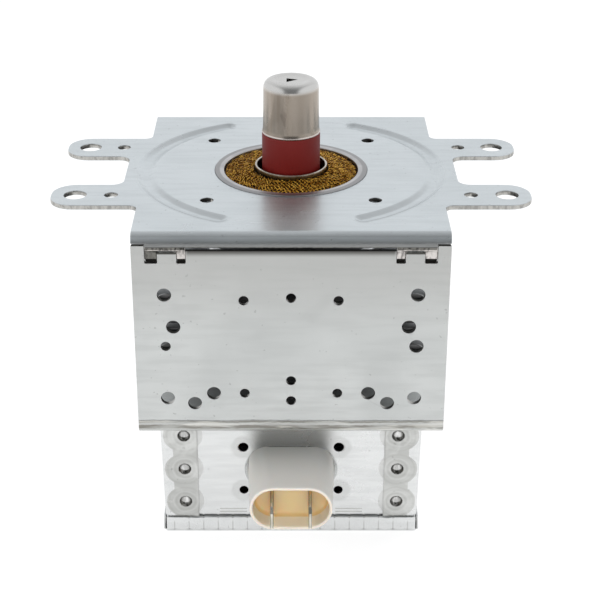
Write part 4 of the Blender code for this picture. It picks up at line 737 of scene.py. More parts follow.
def sheet(outlines, thickness, edge=EDGE, lines=(), closed_lines=(), relief=None, paint=None):
    """Make a flat sheet with rounded edges as a closed mesh: pattern in x and y, outer face at z 0.
    Lines are extra polylines that its faces follow. Its cut edges take the second material, and
    paint gives the material of each other face of the outer side from its middle."""
    points = []
    edges = []

    def draw(line, closed):
        first = len(points)
        points.extend(Vector(p) for p in line)
        count = len(line)
        last = count if closed else count - 1
        edges.extend((first + i, first + (i + 1) % count) for i in range(last))

    for i, outline in enumerate(outlines):
        draw(outline, True)
        way = 1.0 if turns_left(outline) == (i == 0) else -1.0
        for share in (0.3, 1.0):
            draw(offset(outline, way * share * edge), True)
    for line in closed_lines:
        draw(line, True)
    for line in lines:
        draw(line, False)
    filled = geometry.delaunay_2d_cdt(points, edges, [], 0, 0.0000001)
    flat = np.array([(p.x, p.y) for p in filled[0]])
    middles = np.array([flat[list(face)].mean(axis=0) for face in filled[2]])
    keeps = inside(outlines, middles)
    kept = [face for face, keep in zip(filled[2], keeps) if keep]
    coats = np.zeros(len(kept), int) if paint is None else paint(middles[keeps])
    depth = np.clip(edge - distance_to(outlines, flat), 0.0, edge)
    drop = edge - np.sqrt(np.maximum(edge ** 2 - depth ** 2, 0.0))
    lift = np.zeros(len(flat)) if relief is None else relief(flat)
    bm = bmesh.new()
    used = sorted({i for face in kept for i in face})
    top = {i: bm.verts.new((*flat[i], lift[i] - drop[i])) for i in used}
    low = {i: bm.verts.new((*flat[i], lift[i] - thickness + drop[i])) for i in used}
    border = {}
    for face, coat in zip(kept, coats):
        bm.faces.new([top[i] for i in face]).material_index = int(coat)
        bm.faces.new([low[i] for i in reversed(face)])
        for a, b in zip(face, (*face[1:], face[0])):
            if (b, a) in border:
                del border[(b, a)]
            else:
                border[(a, b)] = True
    for a, b in border:
        side = bm.faces.new((top[b], top[a], low[a], low[b]))
        side.material_index = 1
    bmesh.ops.recalc_face_normals(bm, faces=bm.faces)
    return bm


def fold(bm, axis, flat_half, radius, angle=0.5 * math.pi):
    """Bend a sheet's two ends along an axis away from its outer face, about an outer radius."""
    arc = radius * angle
    for vert in bm.verts:
        run = abs(vert.co[axis]) - flat_half
        if run <= 0.0:
            continue
        turn = min(run, arc) / radius
        straight = max(run - arc, 0.0)
        reach = radius + vert.co.z
        end = math.copysign(1.0, vert.co[axis])
        vert.co[axis] = end * (flat_half + reach * math.sin(turn) + straight * math.cos(turn))
        vert.co.z = reach * math.cos(turn) - radius - straight * math.sin(turn)


def bend_lines(axis, flat_half, radius, steps=9):
    """Give the lines along which both ends of a pattern fold."""
    lines = []
    for end in (-1, 1):
        for k in range(steps + 1):
            place = end * (flat_half + radius * 0.5 * math.pi * k / steps)
            line = [(place, -0.2), (place, 0.2)] if axis == 0 else [(-0.2, place), (0.2, place)]
            lines.append(line)
    return lines


def run_for_drop(drop, radius):
    if drop >= radius:
        return 0.5 * math.pi * radius + drop - radius
    return radius * math.acos(1.0 - drop / radius)


def move(bm, rows, origin):
    """Place a mesh by giving the directions of its own axes and its origin."""
    for vert in bm.verts:
        vert.co = [origin[k] + sum(vert.co[i] * rows[i][k] for i in range(3)) for k in range(3)]
    if bm.calc_volume(signed=True) < 0.0:
        bmesh.ops.reverse_faces(bm, faces=bm.faces)
    return bm


UP = ((1, 0, 0), (0, 1, 0), (0, 0, 1))
DOWN = ((1, 0, 0), (0, 1, 0), (0, 0, -1))


def lathe(profile, steps=128, closed=True):
    """Revolve a section of (radius, height) about Z."""
    bm = bmesh.new()
    rings = []
    for radius, height in profile:
        if radius < 1e-7:
            rings.append([bm.verts.new((0.0, 0.0, height))])
            continue
        rings.append([
            bm.verts.new((radius * math.cos(2.0 * math.pi * i / steps),
                          radius * math.sin(2.0 * math.pi * i / steps), height))
            for i in range(steps)
        ])
    pairs = list(zip(rings, rings[1:]))
    if closed:
        pairs.append((rings[-1], rings[0]))
    for upper, lower in pairs:
        for i in range(steps):
            j = (i + 1) % steps
            corners = [upper[i % len(upper)], upper[j % len(upper)],
                       lower[j % len(lower)], lower[i % len(lower)]]
            face = list(dict.fromkeys(corners))
            if len(face) > 2:
                bm.faces.new(face)
    bmesh.ops.recalc_face_normals(bm, faces=bm.faces)
    if bm.calc_volume(signed=True) < 0.0:
        bmesh.ops.reverse_faces(bm, faces=bm.faces)
    return bm


# Yoke plate and frame

def capsule(reach, half_angle, side, distance, steps=44, ends=12):
    """Give the outline at a distance round an arc about the axis."""
    points = []
    for k in range(steps + 1):
        angle = -half_angle + 2.0 * half_angle * k / steps
        points.append(((reach + distance) * math.cos(angle), (reach + distance) * math.sin(angle)))
    for end in (1, -1):
        middle = end * half_angle
        for k in range(1, ends):
            turn = middle + (math.pi * k / ends if end == 1 else math.pi + math.pi * k / ends)
            points.append((reach * math.cos(middle) + distance * math.cos(turn),
                           reach * math.sin(middle) + distance * math.sin(turn)))
        if end == 1:
            for k in range(steps + 1):
                angle = half_angle - 2.0 * half_angle * k / steps
                points.append(((reach - distance) * math.cos(angle), (reach - distance) * math.sin(angle)))
    return [(side * x, y) for x, y in points]


def plate_relief(flat):
    """Give the plate's pressed shape: two arc beads and the seat of the gasket's ring."""
    radius = np.hypot(flat[:, 0], flat[:, 1])
    angle = np.arctan2(flat[:, 1], np.abs(flat[:, 0]))
    beyond = np.clip(angle, -BEAD_HALF_ANGLE, BEAD_HALF_ANGLE)
    near = np.stack([BEAD_RADIUS * np.cos(beyond), BEAD_RADIUS * np.sin(beyond)], axis=1)
    away = np.hypot(np.abs(flat[:, 0]) - near[:, 0], flat[:, 1] - near[:, 1]) / MM
    inner = np.interp(away, *zip(*BEAD_INNER))
    outer = np.interp(away, *zip(*BEAD_OUTER))
    lift = np.where(radius > BEAD_RADIUS, outer, inner) * MM
    seat = np.interp(radius, (SEAT_R - 0.12 * MM, SEAT_R), (-SEAT_DEPTH, 0.0))
    return lift + seat


def make_yoke_plate():
    flat_half = 0.5 * YOKE_DEPTH - PLATE_BEND
    half = PLATE_SIDE
    notch_in = NOTCH_X - 0.5 * NOTCH_WIDTH
    notch_out = NOTCH_X + 0.5 * NOTCH_WIDTH
    tab_in = TAB_X - 0.5 * TAB_WIDTH
    tab_out = TAB_X + 0.5 * TAB_WIDTH
    lip, lug, slot, corner = (
        flat_half + run_for_drop(drop, PLATE_BEND) for drop in (PLATE_LIP, LUG_END, SLOT_DEPTH, CORNER_LIP)
    )
    edge = [
        (notch_in + SLIT, lip, 0.0), (notch_in + SLIT, lug, 0.0), (tab_in - SLIT, lug, 0.0),
        (tab_in - SLIT, slot, 0.5 * MM), (tab_out + SLIT, slot, 0.5 * MM), (tab_out + SLIT, lug, 0.0),
        (notch_out - SLIT, lug, 0.0), (notch_out - SLIT, corner, 0.0), (half, corner, 0.5 * MM),
    ]
    front = [(x, -y, radius) for x, y, radius in edge]
    root = half + EAR_ROOT
    ears = []
    for middle, order in ((EAR_SHIFT - 0.5 * EAR_PITCH, 1), (EAR_SHIFT + 0.5 * EAR_PITCH, -1)):
        outer = middle - order * 0.5 * EAR_WIDTH
        inner = middle + order * 0.5 * EAR_WIDTH
        ear = [(half, outer, EAR_FILLET), (EAR_TIP, outer, EAR_TIP_R),
               (EAR_TIP, inner, EAR_TIP_R), (root, inner, EAR_ROOT_R)]
        ears += ear if order == 1 else list(reversed(ear))
    outlines = [rounded(mirrored(front + ears + list(reversed(edge)))), circle(0.0, 0.0, OPENING_R, 128)]
    for side in (-1, 1):
        for end in (-1, 1):
            ear_y = EAR_SHIFT + end * 0.5 * EAR_PITCH
            outlines.append(circle(side * (EAR_TIP - EAR_HOLE_INSET), ear_y, EAR_HOLE_R, 56))
            outlines.append(circle(side * PILOT_X, ear_y, PILOT_HOLE_R))
            outlines.append(circle(side * PLATE_HOLE_X, end * PLATE_HOLE_Y, PLATE_HOLE_R))
    rings = [circle(0.0, 0.0, SEAT_R - 0.12 * MM, 128), circle(0.0, 0.0, SEAT_R, 128)]
    for side in (-1, 1):
        for away in sorted({away for away, _ in BEAD_INNER[1:] + BEAD_OUTER[1:]}):
            rings.append(capsule(BEAD_RADIUS, BEAD_HALF_ANGLE, side, away * MM))

    def lips(middles):
        """Tell the torn lugs and the burnished lower edge of the lips from the rest, and where painted shade goes: on
        the lugs' crushed feet, the left outer lugs, the lip's edge above each tab and its lower edge between the
        notches.
        """
        run = np.abs(middles[:, 1])
        across = np.abs(middles[:, 0])
        notched = (across > notch_in) & (across < notch_out)
        torn = (run > lip + 0.25 * MM) & notched
        # painted shade on the left outer lugs, on the lip's edge above each tab and on its lower edge between the
        # notches
        dark = torn & (across > tab_out) & (middles[:, 0] < 0.0)
        foot = torn & (run > lug - LUG_FOOT)
        dark = dark | ((run > lip - EDGE) & (run < slot - STRIP) & (across > tab_in) & (across < tab_out))
        burnished = (run > lip - EDGE) & (across < notch_out)
        return np.select([foot, dark | (burnished & (across < notch_in)), torn, burnished], [3, 2, 4, 1], 0)

    draw = random.Random(SEED)
    bm = sheet(outlines, PLATE_SHEET, EDGE, bend_lines(1, flat_half, PLATE_BEND) + lug_lines(lip, lug, slot), rings,
               plate_relief, lips)
    fold(bm, 1, flat_half, PLATE_BEND)
    for vert in bm.verts:
        drop = -vert.co.z - PLATE_LIP
        if drop > 0.05 * MM and abs(vert.co.y) > 0.5 * YOKE_DEPTH - 2.0 * PLATE_SHEET:
            share = min(1.0, drop / (1.2 * MM))
            crushed = min(1.0, max(0.0, (drop - (LUG_END - PLATE_LIP - LUG_FOOT)) / (0.2 * MM)))
            pushed = (0.5 * share * share + 0.9 * crushed + draw.uniform(-0.04, 0.04) * share) * MM
            vert.co.y -= math.copysign(pushed, vert.co.y)
    move(bm, UP, (0.0, 0.0, PLATE_TOP))
    # painted shade on the cut walls of the plate's small holes
    darken_edges(bm, 3, lambda at: PLATE_HOLE_X - 2.0 * MM < abs(at.x) < PLATE_HOLE_X + 2.0 * MM and abs(at.y) < 25.0 * MM
                 and at.x - math.copysign(PLATE_HOLE_X, at.x) < 0.95 * MM)
    show("yoke_plate_sheet", bm, [ZINC, SHEARED, TORN_SHADE, SHADED, CRUSHED], ["yoke_plate"], even=True)


def smooth(value, none, full):
    share = min(1.0, max(0.0, (value - none) / (full - none)))
    return share * share * (3.0 - 2.0 * share)


def darken_edges(bm, index, chosen):
    """Give the chosen cut edges of a sheet another of its materials."""
    for face in bm.faces:
        if face.material_index == 1 and chosen(face.calc_center_median()):
            face.material_index = index


def lug_lines(lip, lug, slot):
    """Give lines across the lugs, along which they are crimped back."""
    reach = NOTCH_X + 0.5 * NOTCH_WIDTH
    lines = []
    for run in [lip + (lug - lip) * k / 6 for k in range(6)] + [slot - STRIP]:
        lines += [[(side * (reach - NOTCH_WIDTH), end * run), (side * reach, end * run)]
                  for side in (-1, 1) for end in (-1, 1)]
    return lines


def make_yoke_frame():
    flat_half = 0.5 * YOKE_DEPTH - FRAME_BEND
    half = PLATE_SIDE
    height = PLATE_TOP - YOKE_UNDERSIDE

    def run(level):
        return flat_half + run_for_drop(level, FRAME_BEND)

    top = run(height - PLATE_LIP - SEAM)
    notch = run(height - LUG_DEPTH - 1.0 * MM)
    tab = run(height - SLOT_DEPTH - GAP)
    corner = run(height - CORNER_LIP - 0.14 * MM)
    notch_in = NOTCH_X - 0.5 * NOTCH_WIDTH
    notch_out = NOTCH_X + 0.5 * NOTCH_WIDTH
    tab_in = TAB_X - 0.5 * TAB_WIDTH
    tab_out = TAB_X + 0.5 * TAB_WIDTH
    edge = [
        (notch_in, top, 0.0), (notch_in, notch, 0.25 * MM), (tab_in, notch, 0.25 * MM), (tab_in, tab, 0.2 * MM),
        (tab_out, tab, 0.2 * MM), (tab_out, notch, 0.25 * MM), (notch_out, notch, 0.25 * MM),
        (notch_out, corner, 0.0), (half, corner, 0.8 * MM),
    ]
    front = [(x, -y, radius) for x, y, radius in edge]
    outlines = [rounded(mirrored(front + list(reversed(edge))), 5)]
    outlines.append(circle(0.0, 0.0, NECK_R + GAP, 64))
    for x, level, radius in WALL_HOLES:
        for end in (-1, 1):
            outlines.append(circle(x * MM, end * run(level * MM), radius * MM, 36))
    rims = [[(side * (notch_out + SLIT), end * (corner - 0.3 * MM)), (side * (half - 0.2 * MM), end * (corner - 0.3 * MM))]
            for side in (-1, 1) for end in (-1, 1)]
    # the wall's top rows beside the notches take painted shade
    bm = sheet(outlines, FRAME_SHEET, EDGE, bend_lines(1, flat_half, FRAME_BEND) + rims, paint=lambda middles: np.where(
        (np.abs(middles[:, 1]) > corner - 0.3 * MM) & (np.abs(middles[:, 0]) > notch_out), 2, 0))
    fold(bm, 1, flat_half, FRAME_BEND)
    move(bm, DOWN, (0.0, 0.0, YOKE_UNDERSIDE))
    for vert in bm.verts:
        near_wall = smooth(0.5 * YOKE_DEPTH - abs(vert.co.y), 4.5 * MM, 1.7 * MM)
        near_floor = smooth(vert.co.z - YOKE_UNDERSIDE, 3.4 * MM, 0.0)
        vert.co.z -= FOOT_SAG * near_wall * near_floor
    seam = PLATE_TOP - PLATE_LIP - SEAM - 0.3 * MM
    # painted shade on the wall's top cut edges, under the seam
    darken_edges(bm, 2, lambda at: at.z > seam and not tab_in < abs(at.x) < tab_out)
    show("yoke_frame_sheet", bm, [WALL, SHEARED, SHADED], ["yoke_frame"], even=True)


# Output side

def make_antenna_cap():
    top = CAP_HIGH.z
    base = CAP_LOW.z
    rim = CERAMIC_R
    wall = rim - 0.42 * MM
    edge_r = 2.0 * MM
    sheet_t = 0.4 * MM
    lip = base - 0.22 * MM
    outer = [(0.0, top - 0.26 * MM), (3.4 * MM, top - 0.25 * MM), (3.9 * MM, top - 0.19 * MM),
             (4.4 * MM, top - 0.04 * MM), (wall - edge_r, top)]
    for k in range(1, 13):
        angle = 0.5 * math.pi * (1.0 - k / 12)
        outer.append((wall - edge_r * (1.0 - math.cos(angle)), top - edge_r * (1.0 - math.sin(angle))))
    outer += [
        (wall + 0.05 * MM, top - 5.0 * MM), (wall + 0.12 * MM, base + 4.2 * MM), (wall + 0.17 * MM, base + 1.3 * MM),
        (wall + 0.22 * MM, base + 0.7 * MM), (rim - 0.08 * MM, base + 0.30 * MM), (rim, base + 0.14 * MM),
        (rim, lip + 0.08 * MM), (rim - 0.06 * MM, lip), (rim - 0.35 * MM, lip),
    ]
    inner = [
        (wall + 0.05 * MM - sheet_t, base + 1.0 * MM), (wall - sheet_t, top - edge_r),
        (wall - edge_r, top - 0.28 * MM - sheet_t), (0.0, top - 0.28 * MM - sheet_t),
    ]
    bm = lathe(outer + inner, 144, closed=False)
    cap = show("antenna_cap_drawn", bm, [NICKEL], ["antenna_cap"], 40.0)
    vent = bmesh.new()
    corners = [(1.75 * MM, 0.35 * MM), (-1.15 * MM, 1.35 * MM), (-1.15 * MM, -1.75 * MM)]
    low = [vent.verts.new((x, y, top - 1.5 * MM)) for x, y in corners]
    high = [vent.verts.new((x, y, top + 1.0 * MM)) for x, y in corners]
    vent.faces.new(low)
    vent.faces.new(high)
    for i in range(3):
        j = (i + 1) % 3
        vent.faces.new((low[i], low[j], high[j], high[i]))
    bmesh.ops.recalc_face_normals(vent, faces=vent.faces)
    cut_from(cap, vent)


def cut_from(piece, bm):
    """Take a shape out of a piece for good."""
    mesh = bpy.data.meshes.new("cutter")
    bm.to_mesh(mesh)
    bm.free()
    cutter = bpy.data.objects.new("cutter", mesh)
    bpy.context.scene.collection.objects.link(cutter)
    modifier = piece.modifiers.new("cut", "BOOLEAN")
    modifier.operation = "DIFFERENCE"
    modifier.object = cutter
    bpy.context.view_layer.update()
    graph = bpy.context.evaluated_depsgraph_get()
    result = bpy.data.meshes.new_from_object(piece.evaluated_get(graph))
    piece.modifiers.remove(modifier)
    piece.data = result
    bpy.data.objects.remove(cutter, do_unlink=True)


def make_output_insulator():
    low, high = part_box("output_ceramic")
    section = [(x, y) for x, y in rounded([
        (CERAMIC_R - 1.6 * MM, low.z, 0.0), (CERAMIC_R, low.z, 0.25 * MM), (CERAMIC_R, high.z, 0.3 * MM),
        (CERAMIC_R - 1.6 * MM, high.z, 0.0)], 5)]
    show("output_insulator", lathe(section), [PINK], ["output_ceramic"], 40.0)


def make_output_tube():
    """The tube round the ceramic, its lip rolled slightly outwards and its foot flared onto the anode."""
    lip = NECK_HIGH.z
    foot = NECK_LOW.z
    reach = NECK_HIGH.x
    shelf = PLATE_TOP - SHELF_DEPTH
    sheet_t = NECK_R - NECK_BORE
    inner = CERAMIC_R - 1.2 * MM
    section = [
        (NECK_R + 0.01 * MM, lip - 0.25 * MM), (NECK_R - 0.02 * MM, lip - 0.08 * MM),
        (NECK_R - 0.14 * MM, lip), (NECK_BORE + 0.12 * MM, lip), (NECK_BORE + 0.01 * MM, lip - 0.1 * MM),
        (NECK_BORE, lip - 0.4 * MM), (NECK_BORE, shelf + sheet_t), (inner, shelf + sheet_t), (inner, shelf),
        (NECK_BORE - 0.3 * MM, shelf), (NECK_BORE, shelf - 0.3 * MM), (NECK_BORE, foot + 0.5 * MM),
        (NECK_BORE + 0.5 * MM, foot), (reach, foot), (reach, foot + sheet_t), (NECK_R + 0.5 * MM, foot + sheet_t),
        (NECK_R, foot + sheet_t + 0.5 * MM), (NECK_R, lip - 1.0 * MM),
    ]
    show("output_tube", lathe(section), [DULL_STEEL], ["output_neck"], 40.0)


def make_gasket_ring():
    base = RING_LOW.z
    top = RING_HIGH.z
    bore = 17.4 * MM
    outer = 19.8 * MM
    section = rounded([
        (bore, base, 0.0), (bore + 0.45 * MM, base, 0.0), (bore + 0.45 * MM, top - 0.45 * MM, 0.0),
        (outer, top - 0.45 * MM, 0.1 * MM), (outer, top, 0.2 * MM), (bore, top, 0.3 * MM)], 4)
    show("gasket_ring_pressed", lathe(section, 144), [RING_STEEL], ["gasket_ring"], 40.0)


def gasket_level(radius):
    """Give the height of the gasket's crown, which falls from the neck to the ring."""
    share = (radius - GASKET_INNER) / (GASKET_OUTER - GASKET_INNER)
    round_off = 0.35 * MM * max(2.0 * share - 1.0, 0.0) ** 6
    return PLATE_TOP + GASKET_RISE - (GASKET_RISE + GASKET_FALL) * share - round_off


def make_gasket():
    """Knit the gasket: rows of looped wire that catch one another, in two layers over a dark core; the lower layer and
    the core are painted shade.
    """
    base = PLATE_TOP - 1.2 * MM
    section = [(GASKET_INNER, base), (GASKET_OUTER, base)]
    for k in range(9):
        radius = GASKET_OUTER + (GASKET_INNER - GASKET_OUTER) * k / 8
        section.append((radius, gasket_level(radius) - 0.75 * MM))
    show("gasket_core_painted_shade", lathe(section, 96), [CORE], ["rf_gasket"], 60.0)
    rng = np.random.default_rng(SEED)
    bm = bmesh.new()
    for layer, sink, steps_each in ((0, 0.38 * MM, 9), (1, 0.0, 12)):
        rows = round((GASKET_OUTER - GASKET_INNER) / ROW_PITCH)
        for row in range(rows):
            middle = GASKET_INNER + (GASKET_OUTER - GASKET_INNER) * (row + 0.5) / rows
            middle += (0.25 if layer == 0 else -0.05) * ROW_PITCH
            knit_row(bm, middle, sink, steps_each, rng, 1 - layer)
    bmesh.ops.recalc_face_normals(bm, faces=bm.faces)
    show("gasket_wires", bm, [BRASS, SHADED_BRASS], ["rf_gasket"], 120.0)


def knit_row(bm, middle, sink, steps_each, rng, coat, sides=4):
    """Add one closed row of stitches: each swells back over its neighbours before it turns."""
    count = round(2.0 * math.pi * middle / STITCH_PITCH)
    steps = count * steps_each
    turn = 2.0 * math.pi * np.arange(steps) / steps
    wave = count * turn

    def wander(size):
        """Give a closed random course, one value for each stitch."""
        values = rng.uniform(-size, size, count)
        places = np.arange(steps) / steps_each
        return np.interp(places, np.arange(count + 1), np.append(values, values[0]))

    swing = (0.56 * MM + wander(0.16 * MM)) * np.sin(wave) + wander(0.14 * MM)
    skew = (0.22 * MM + wander(0.08 * MM)) * np.sin(2.0 * wave) + wander(0.10 * MM)
    lift = 0.16 * MM * np.cos(wave) + 0.09 * MM * np.cos(2.0 * wave) + wander(0.2 * MM)
    reach = np.clip(middle + swing, GASKET_INNER + 0.09 * MM, GASKET_OUTER - 0.04 * MM)
    angle = turn + skew / middle
    level = np.array([gasket_level(r) for r in reach]) - 0.12 * MM - sink + lift
    points = np.stack([reach * np.cos(angle), reach * np.sin(angle), level], axis=1)
    ahead = np.roll(points, -1, axis=0) - np.roll(points, 1, axis=0)
    ahead /= np.linalg.norm(ahead, axis=1)[:, None]
    across = np.cross(ahead, (0.0, 0.0, 1.0))
    across /= np.linalg.norm(across, axis=1)[:, None]
    up = np.cross(across, ahead)
    rings = []
    for point, a, u in zip(points, across, up):
        rings.append([
            bm.verts.new(point + WIRE_R * (math.cos(t) * a + math.sin(t) * u))
            for t in (2.0 * math.pi * (k + 0.5) / sides for k in range(sides))
        ])
    for ring, after in zip(rings, rings[1:] + rings[:1]):
        for k in range(sides):
            m = (k + 1) % sides
            bm.faces.new((ring[k], ring[m], after[m], after[k])).material_index = coat


# Inside the yoke

def make_magnets():
    for name in ("upper_magnet", "lower_magnet"):
        low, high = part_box(name)
        outer = high.x
        section = rounded([(MAGNET_BORE, low.z, 0.5 * MM), (outer, low.z, 0.6 * MM), (outer, high.z, 0.6 * MM),
                           (MAGNET_BORE, high.z, 0.5 * MM)], 3)
        show(name + "_ring", lathe(section, 144), [FERRITE], [name], 40.0)


def make_fins():
    """Fine versions of the fins: drawn collars, pierced slots and sprung end tabs."""
    draw = random.Random(SEED)
    anode_low, anode_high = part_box("anode_cylinder")
    collar_r = anode_high.x + 0.15 * MM
    for i in range(5):
        name = f"cooling_fin_{i + 1}"
        low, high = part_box(name)
        thickness = 0.6 * MM
        reach = high.y
        bend = 1.2 * MM
        flat_half = reach - bend
        half = high.x
        tab_in = half - 17.0 * MM
        end = flat_half + run_for_drop(3.6 * MM, bend)
        cut_end = flat_half - bend
        right = [
            (tab_in, -cut_end, 0.4 * MM), (tab_in, -end, 1.0 * MM), (half, -end, 3.0 * MM),
            (half, end, 3.0 * MM), (tab_in, end, 1.0 * MM), (tab_in, cut_end, 0.4 * MM),
        ]
        radius = collar_r + thickness + 0.6 * MM
        outlines = [rounded(mirrored(right)), circle(0.0, 0.0, radius, 96)]
        for row in (-1, 1):
            slot = rounded([(-8.0 * MM, row * 30.0 * MM, 0.8 * MM), (8.0 * MM, row * 30.0 * MM, 0.8 * MM),
                            (8.0 * MM, row * 32.4 * MM, 0.8 * MM), (-8.0 * MM, row * 32.4 * MM, 0.8 * MM)], 4)
            outlines.append(slot)
        sway = draw.uniform(-0.12, 0.12) * MM
        # the end tabs' outer faces take painted shade
        bm = sheet(outlines, thickness, 0.08 * MM, bend_lines(1, flat_half, bend, 6),
                   paint=lambda middles: np.where(np.abs(middles[:, 1]) > flat_half, 2, 0))
        fold(bm, 1, flat_half, bend)
        for vert in bm.verts:
            vert.co.z += sway * math.cos(90.0 * vert.co.x) * min(1.0, abs(vert.co.y) / reach)
        move(bm, DOWN, (0.0, 0.0, low.z))
        sections = [
            (radius, low.z + thickness), (radius, low.z), (collar_r + 0.35 * MM, low.z + 0.12 * MM),
            (collar_r + 0.08 * MM, low.z + 0.5 * MM), (collar_r, low.z + 1.1 * MM), (collar_r, low.z + 3.5 * MM),
            (collar_r + thickness, low.z + 3.5 * MM), (collar_r + thickness, low.z + 1.5 * MM),
            (collar_r + thickness + 0.2 * MM, low.z + 0.9 * MM),
        ]
        collar = lathe(sections, 96)
        mesh = bpy.data.meshes.new("collar")
        collar.to_mesh(mesh)
        collar.free()
        bm.from_mesh(mesh)
        bpy.data.meshes.remove(mesh)
        show(name + "_sheet", bm, [ALUMINIUM, FIN_EDGE, FIN_TAB_SHADE], [name], even=True)


# Filter box

def clinch_relief(flat):
    """Give the flap's pressed rings and punched cups, on flat pattern coordinates."""
    lift = np.zeros(len(flat))
    for x, y in CLINCH_PLACES:
        away = np.hypot(flat[:, 0] - x, flat[:, 1] - y) / MM
        lift = np.minimum(lift, np.interp(away, *zip(*CLINCH_SHAPE)) * MM)
    return lift


def coined(middles, places):
    """Paint the matt rounds that the clinching tool leaves."""
    away = np.min([np.hypot(middles[:, 0] - x, middles[:, 1] - y) for x, y in places], axis=0)
    return np.where(away < COIN_R, 2, 0)


def flap_coat(middles, clinch):
    """Paint a flap: matt rounds and inner margin, painted shade on the low side of each cup and a painted highlight on
    the rest of its floor.
    """
    coat = np.where(np.abs(middles[:, 0]) > clinch - 3.0 * MM, 2, coined(middles, CLINCH_PLACES))
    for x, y in CLINCH_PLACES:
        away = np.hypot(middles[:, 0] - x, middles[:, 1] - y) / MM
        rise = (middles[:, 1] - y) / MM
        shifted = np.hypot((middles[:, 0] - x) / MM, rise - 0.45)
        low = (away < 1.62) & (shifted > 1.3) & (rise < 0.5)
        # the low side of each cup takes painted shade, the rest of its floor a painted highlight
        coat = np.where(low, 3, np.where(away < 1.56, 4, coat))
    return coat


CLINCH_SHAPE = ((0.0, -1.10), (0.5, -1.08), (0.9, -0.98), (1.2, -0.80), (1.42, -0.55), (1.56, -0.30), (1.68, -0.20),
                (3.0, -0.19), (3.32, -0.06), (4.5, -0.055), (4.8, 0.0))
COIN_R = 4.75 * MM
CLINCH_PLACES = []


def make_box_sides():
    """The two side walls, whose flaps lap over the front and the rear and are clinched to them."""
    thickness = BOX_SHEET
    half_x = BOX_HIGH.x
    reach = BOX_HIGH.y
    low = BOX_LOW.z
    height = BOX_HIGH.z - low
    flat_half = reach - BOX_BEND
    run = flat_half + 0.5 * math.pi * BOX_BEND
    flap = run + FLAP_WIDTH - BOX_BEND
    clinch = run + CLINCH_INSET - BOX_BEND
    CLINCH_PLACES.clear()
    rings = []
    for end in (-1, 1):
        for drop in CLINCH_DROPS:
            CLINCH_PLACES.append((end * clinch, height - drop))
            for away, _ in CLINCH_SHAPE[1:]:
                clipped = [(max(min(x, flap - 0.3 * MM), -flap + 0.3 * MM), min(max(y, 0.4 * MM), height - 0.4 * MM))
                           for x, y in circle(end * clinch, height - drop, away * MM, 40)]
                rings.append(clipped)
            rings.append(circle(end * clinch, height - drop + 0.45 * MM, 1.3 * MM, 32))
    corner = 0.8 * MM
    outline = rounded([(-flap, 0.0, corner), (flap, 0.0, corner), (flap, height, corner), (-flap, height, corner)], 4)
    for side in (-1, 1):
        bm = sheet([outline], thickness, 0.1 * MM, bend_lines(0, flat_half, BOX_BEND, 6), rings,
                   clinch_relief, lambda middles: flap_coat(middles, clinch))
        fold(bm, 0, flat_half, BOX_BEND)
        move(bm, ((0, 1, 0), (0, 0, 1), (side, 0, 0)), (side * half_x, 0.0, low))
        for vert in bm.verts:
            vert.co.x += side * SIDE_FLARE * smooth(abs(vert.co.x), half_x - 3.0 * MM, half_x) * (vert.co.z - low) / height
        name = "box_side_" + ("left" if side < 0 else "right")
        show(name, bm, [BRIGHT, BRIGHT_EDGE, COINED, CUP_WALL_SHADE, CUP_FLOOR_HIGHLIGHT], ["filter_box"], even=True)


def panel_relief(flat):
    """Give the front and rear panels' pressed shapes: vent halos, double ribs, the socket's collar."""
    lift = np.zeros(len(flat))
    for (x, y), shape in PANEL_MARKS:
        away = np.hypot(flat[:, 0] - x, flat[:, 1] - y) / MM
        lift += np.interp(away, *zip(*shape)) * MM
    for x, y in PANEL_RIBS:
        across = np.abs(flat[:, 1] - y) / MM
        along = np.abs(flat[:, 0] - x) / MM
        ridge = np.interp(across, (0.0, 0.28, 0.42, 0.62, 0.8), (-0.05, -0.05, 0.22, 0.22, 0.0))
        lift += ridge * np.interp(along, (3.1, 3.35), (1.0, 0.0)) * MM
    for y in PANEL_COLLAR:
        spine = 0.5 * (SOCKET_COLLAR[0] - SOCKET_COLLAR[1])
        away = np.hypot(np.maximum(np.abs(flat[:, 0]) - spine, 0.0), flat[:, 1] - y)
        lift += np.interp((away - 0.5 * SOCKET_COLLAR[1]) / MM, *zip(*COLLAR_SHAPE)) * MM
    return lift


HALO = ((0.0, -0.12), (1.9, -0.10), (2.9, -0.03), (3.4, 0.0))
COLLAR_SHAPE = ((-0.5, 0.0), (-0.22, 0.0), (-0.05, -0.28), (0.05, -0.28), (0.22, 0.0), (0.5, 0.0))
PANEL_MARKS = []
PANEL_RIBS = []
PANEL_COLLAR = []


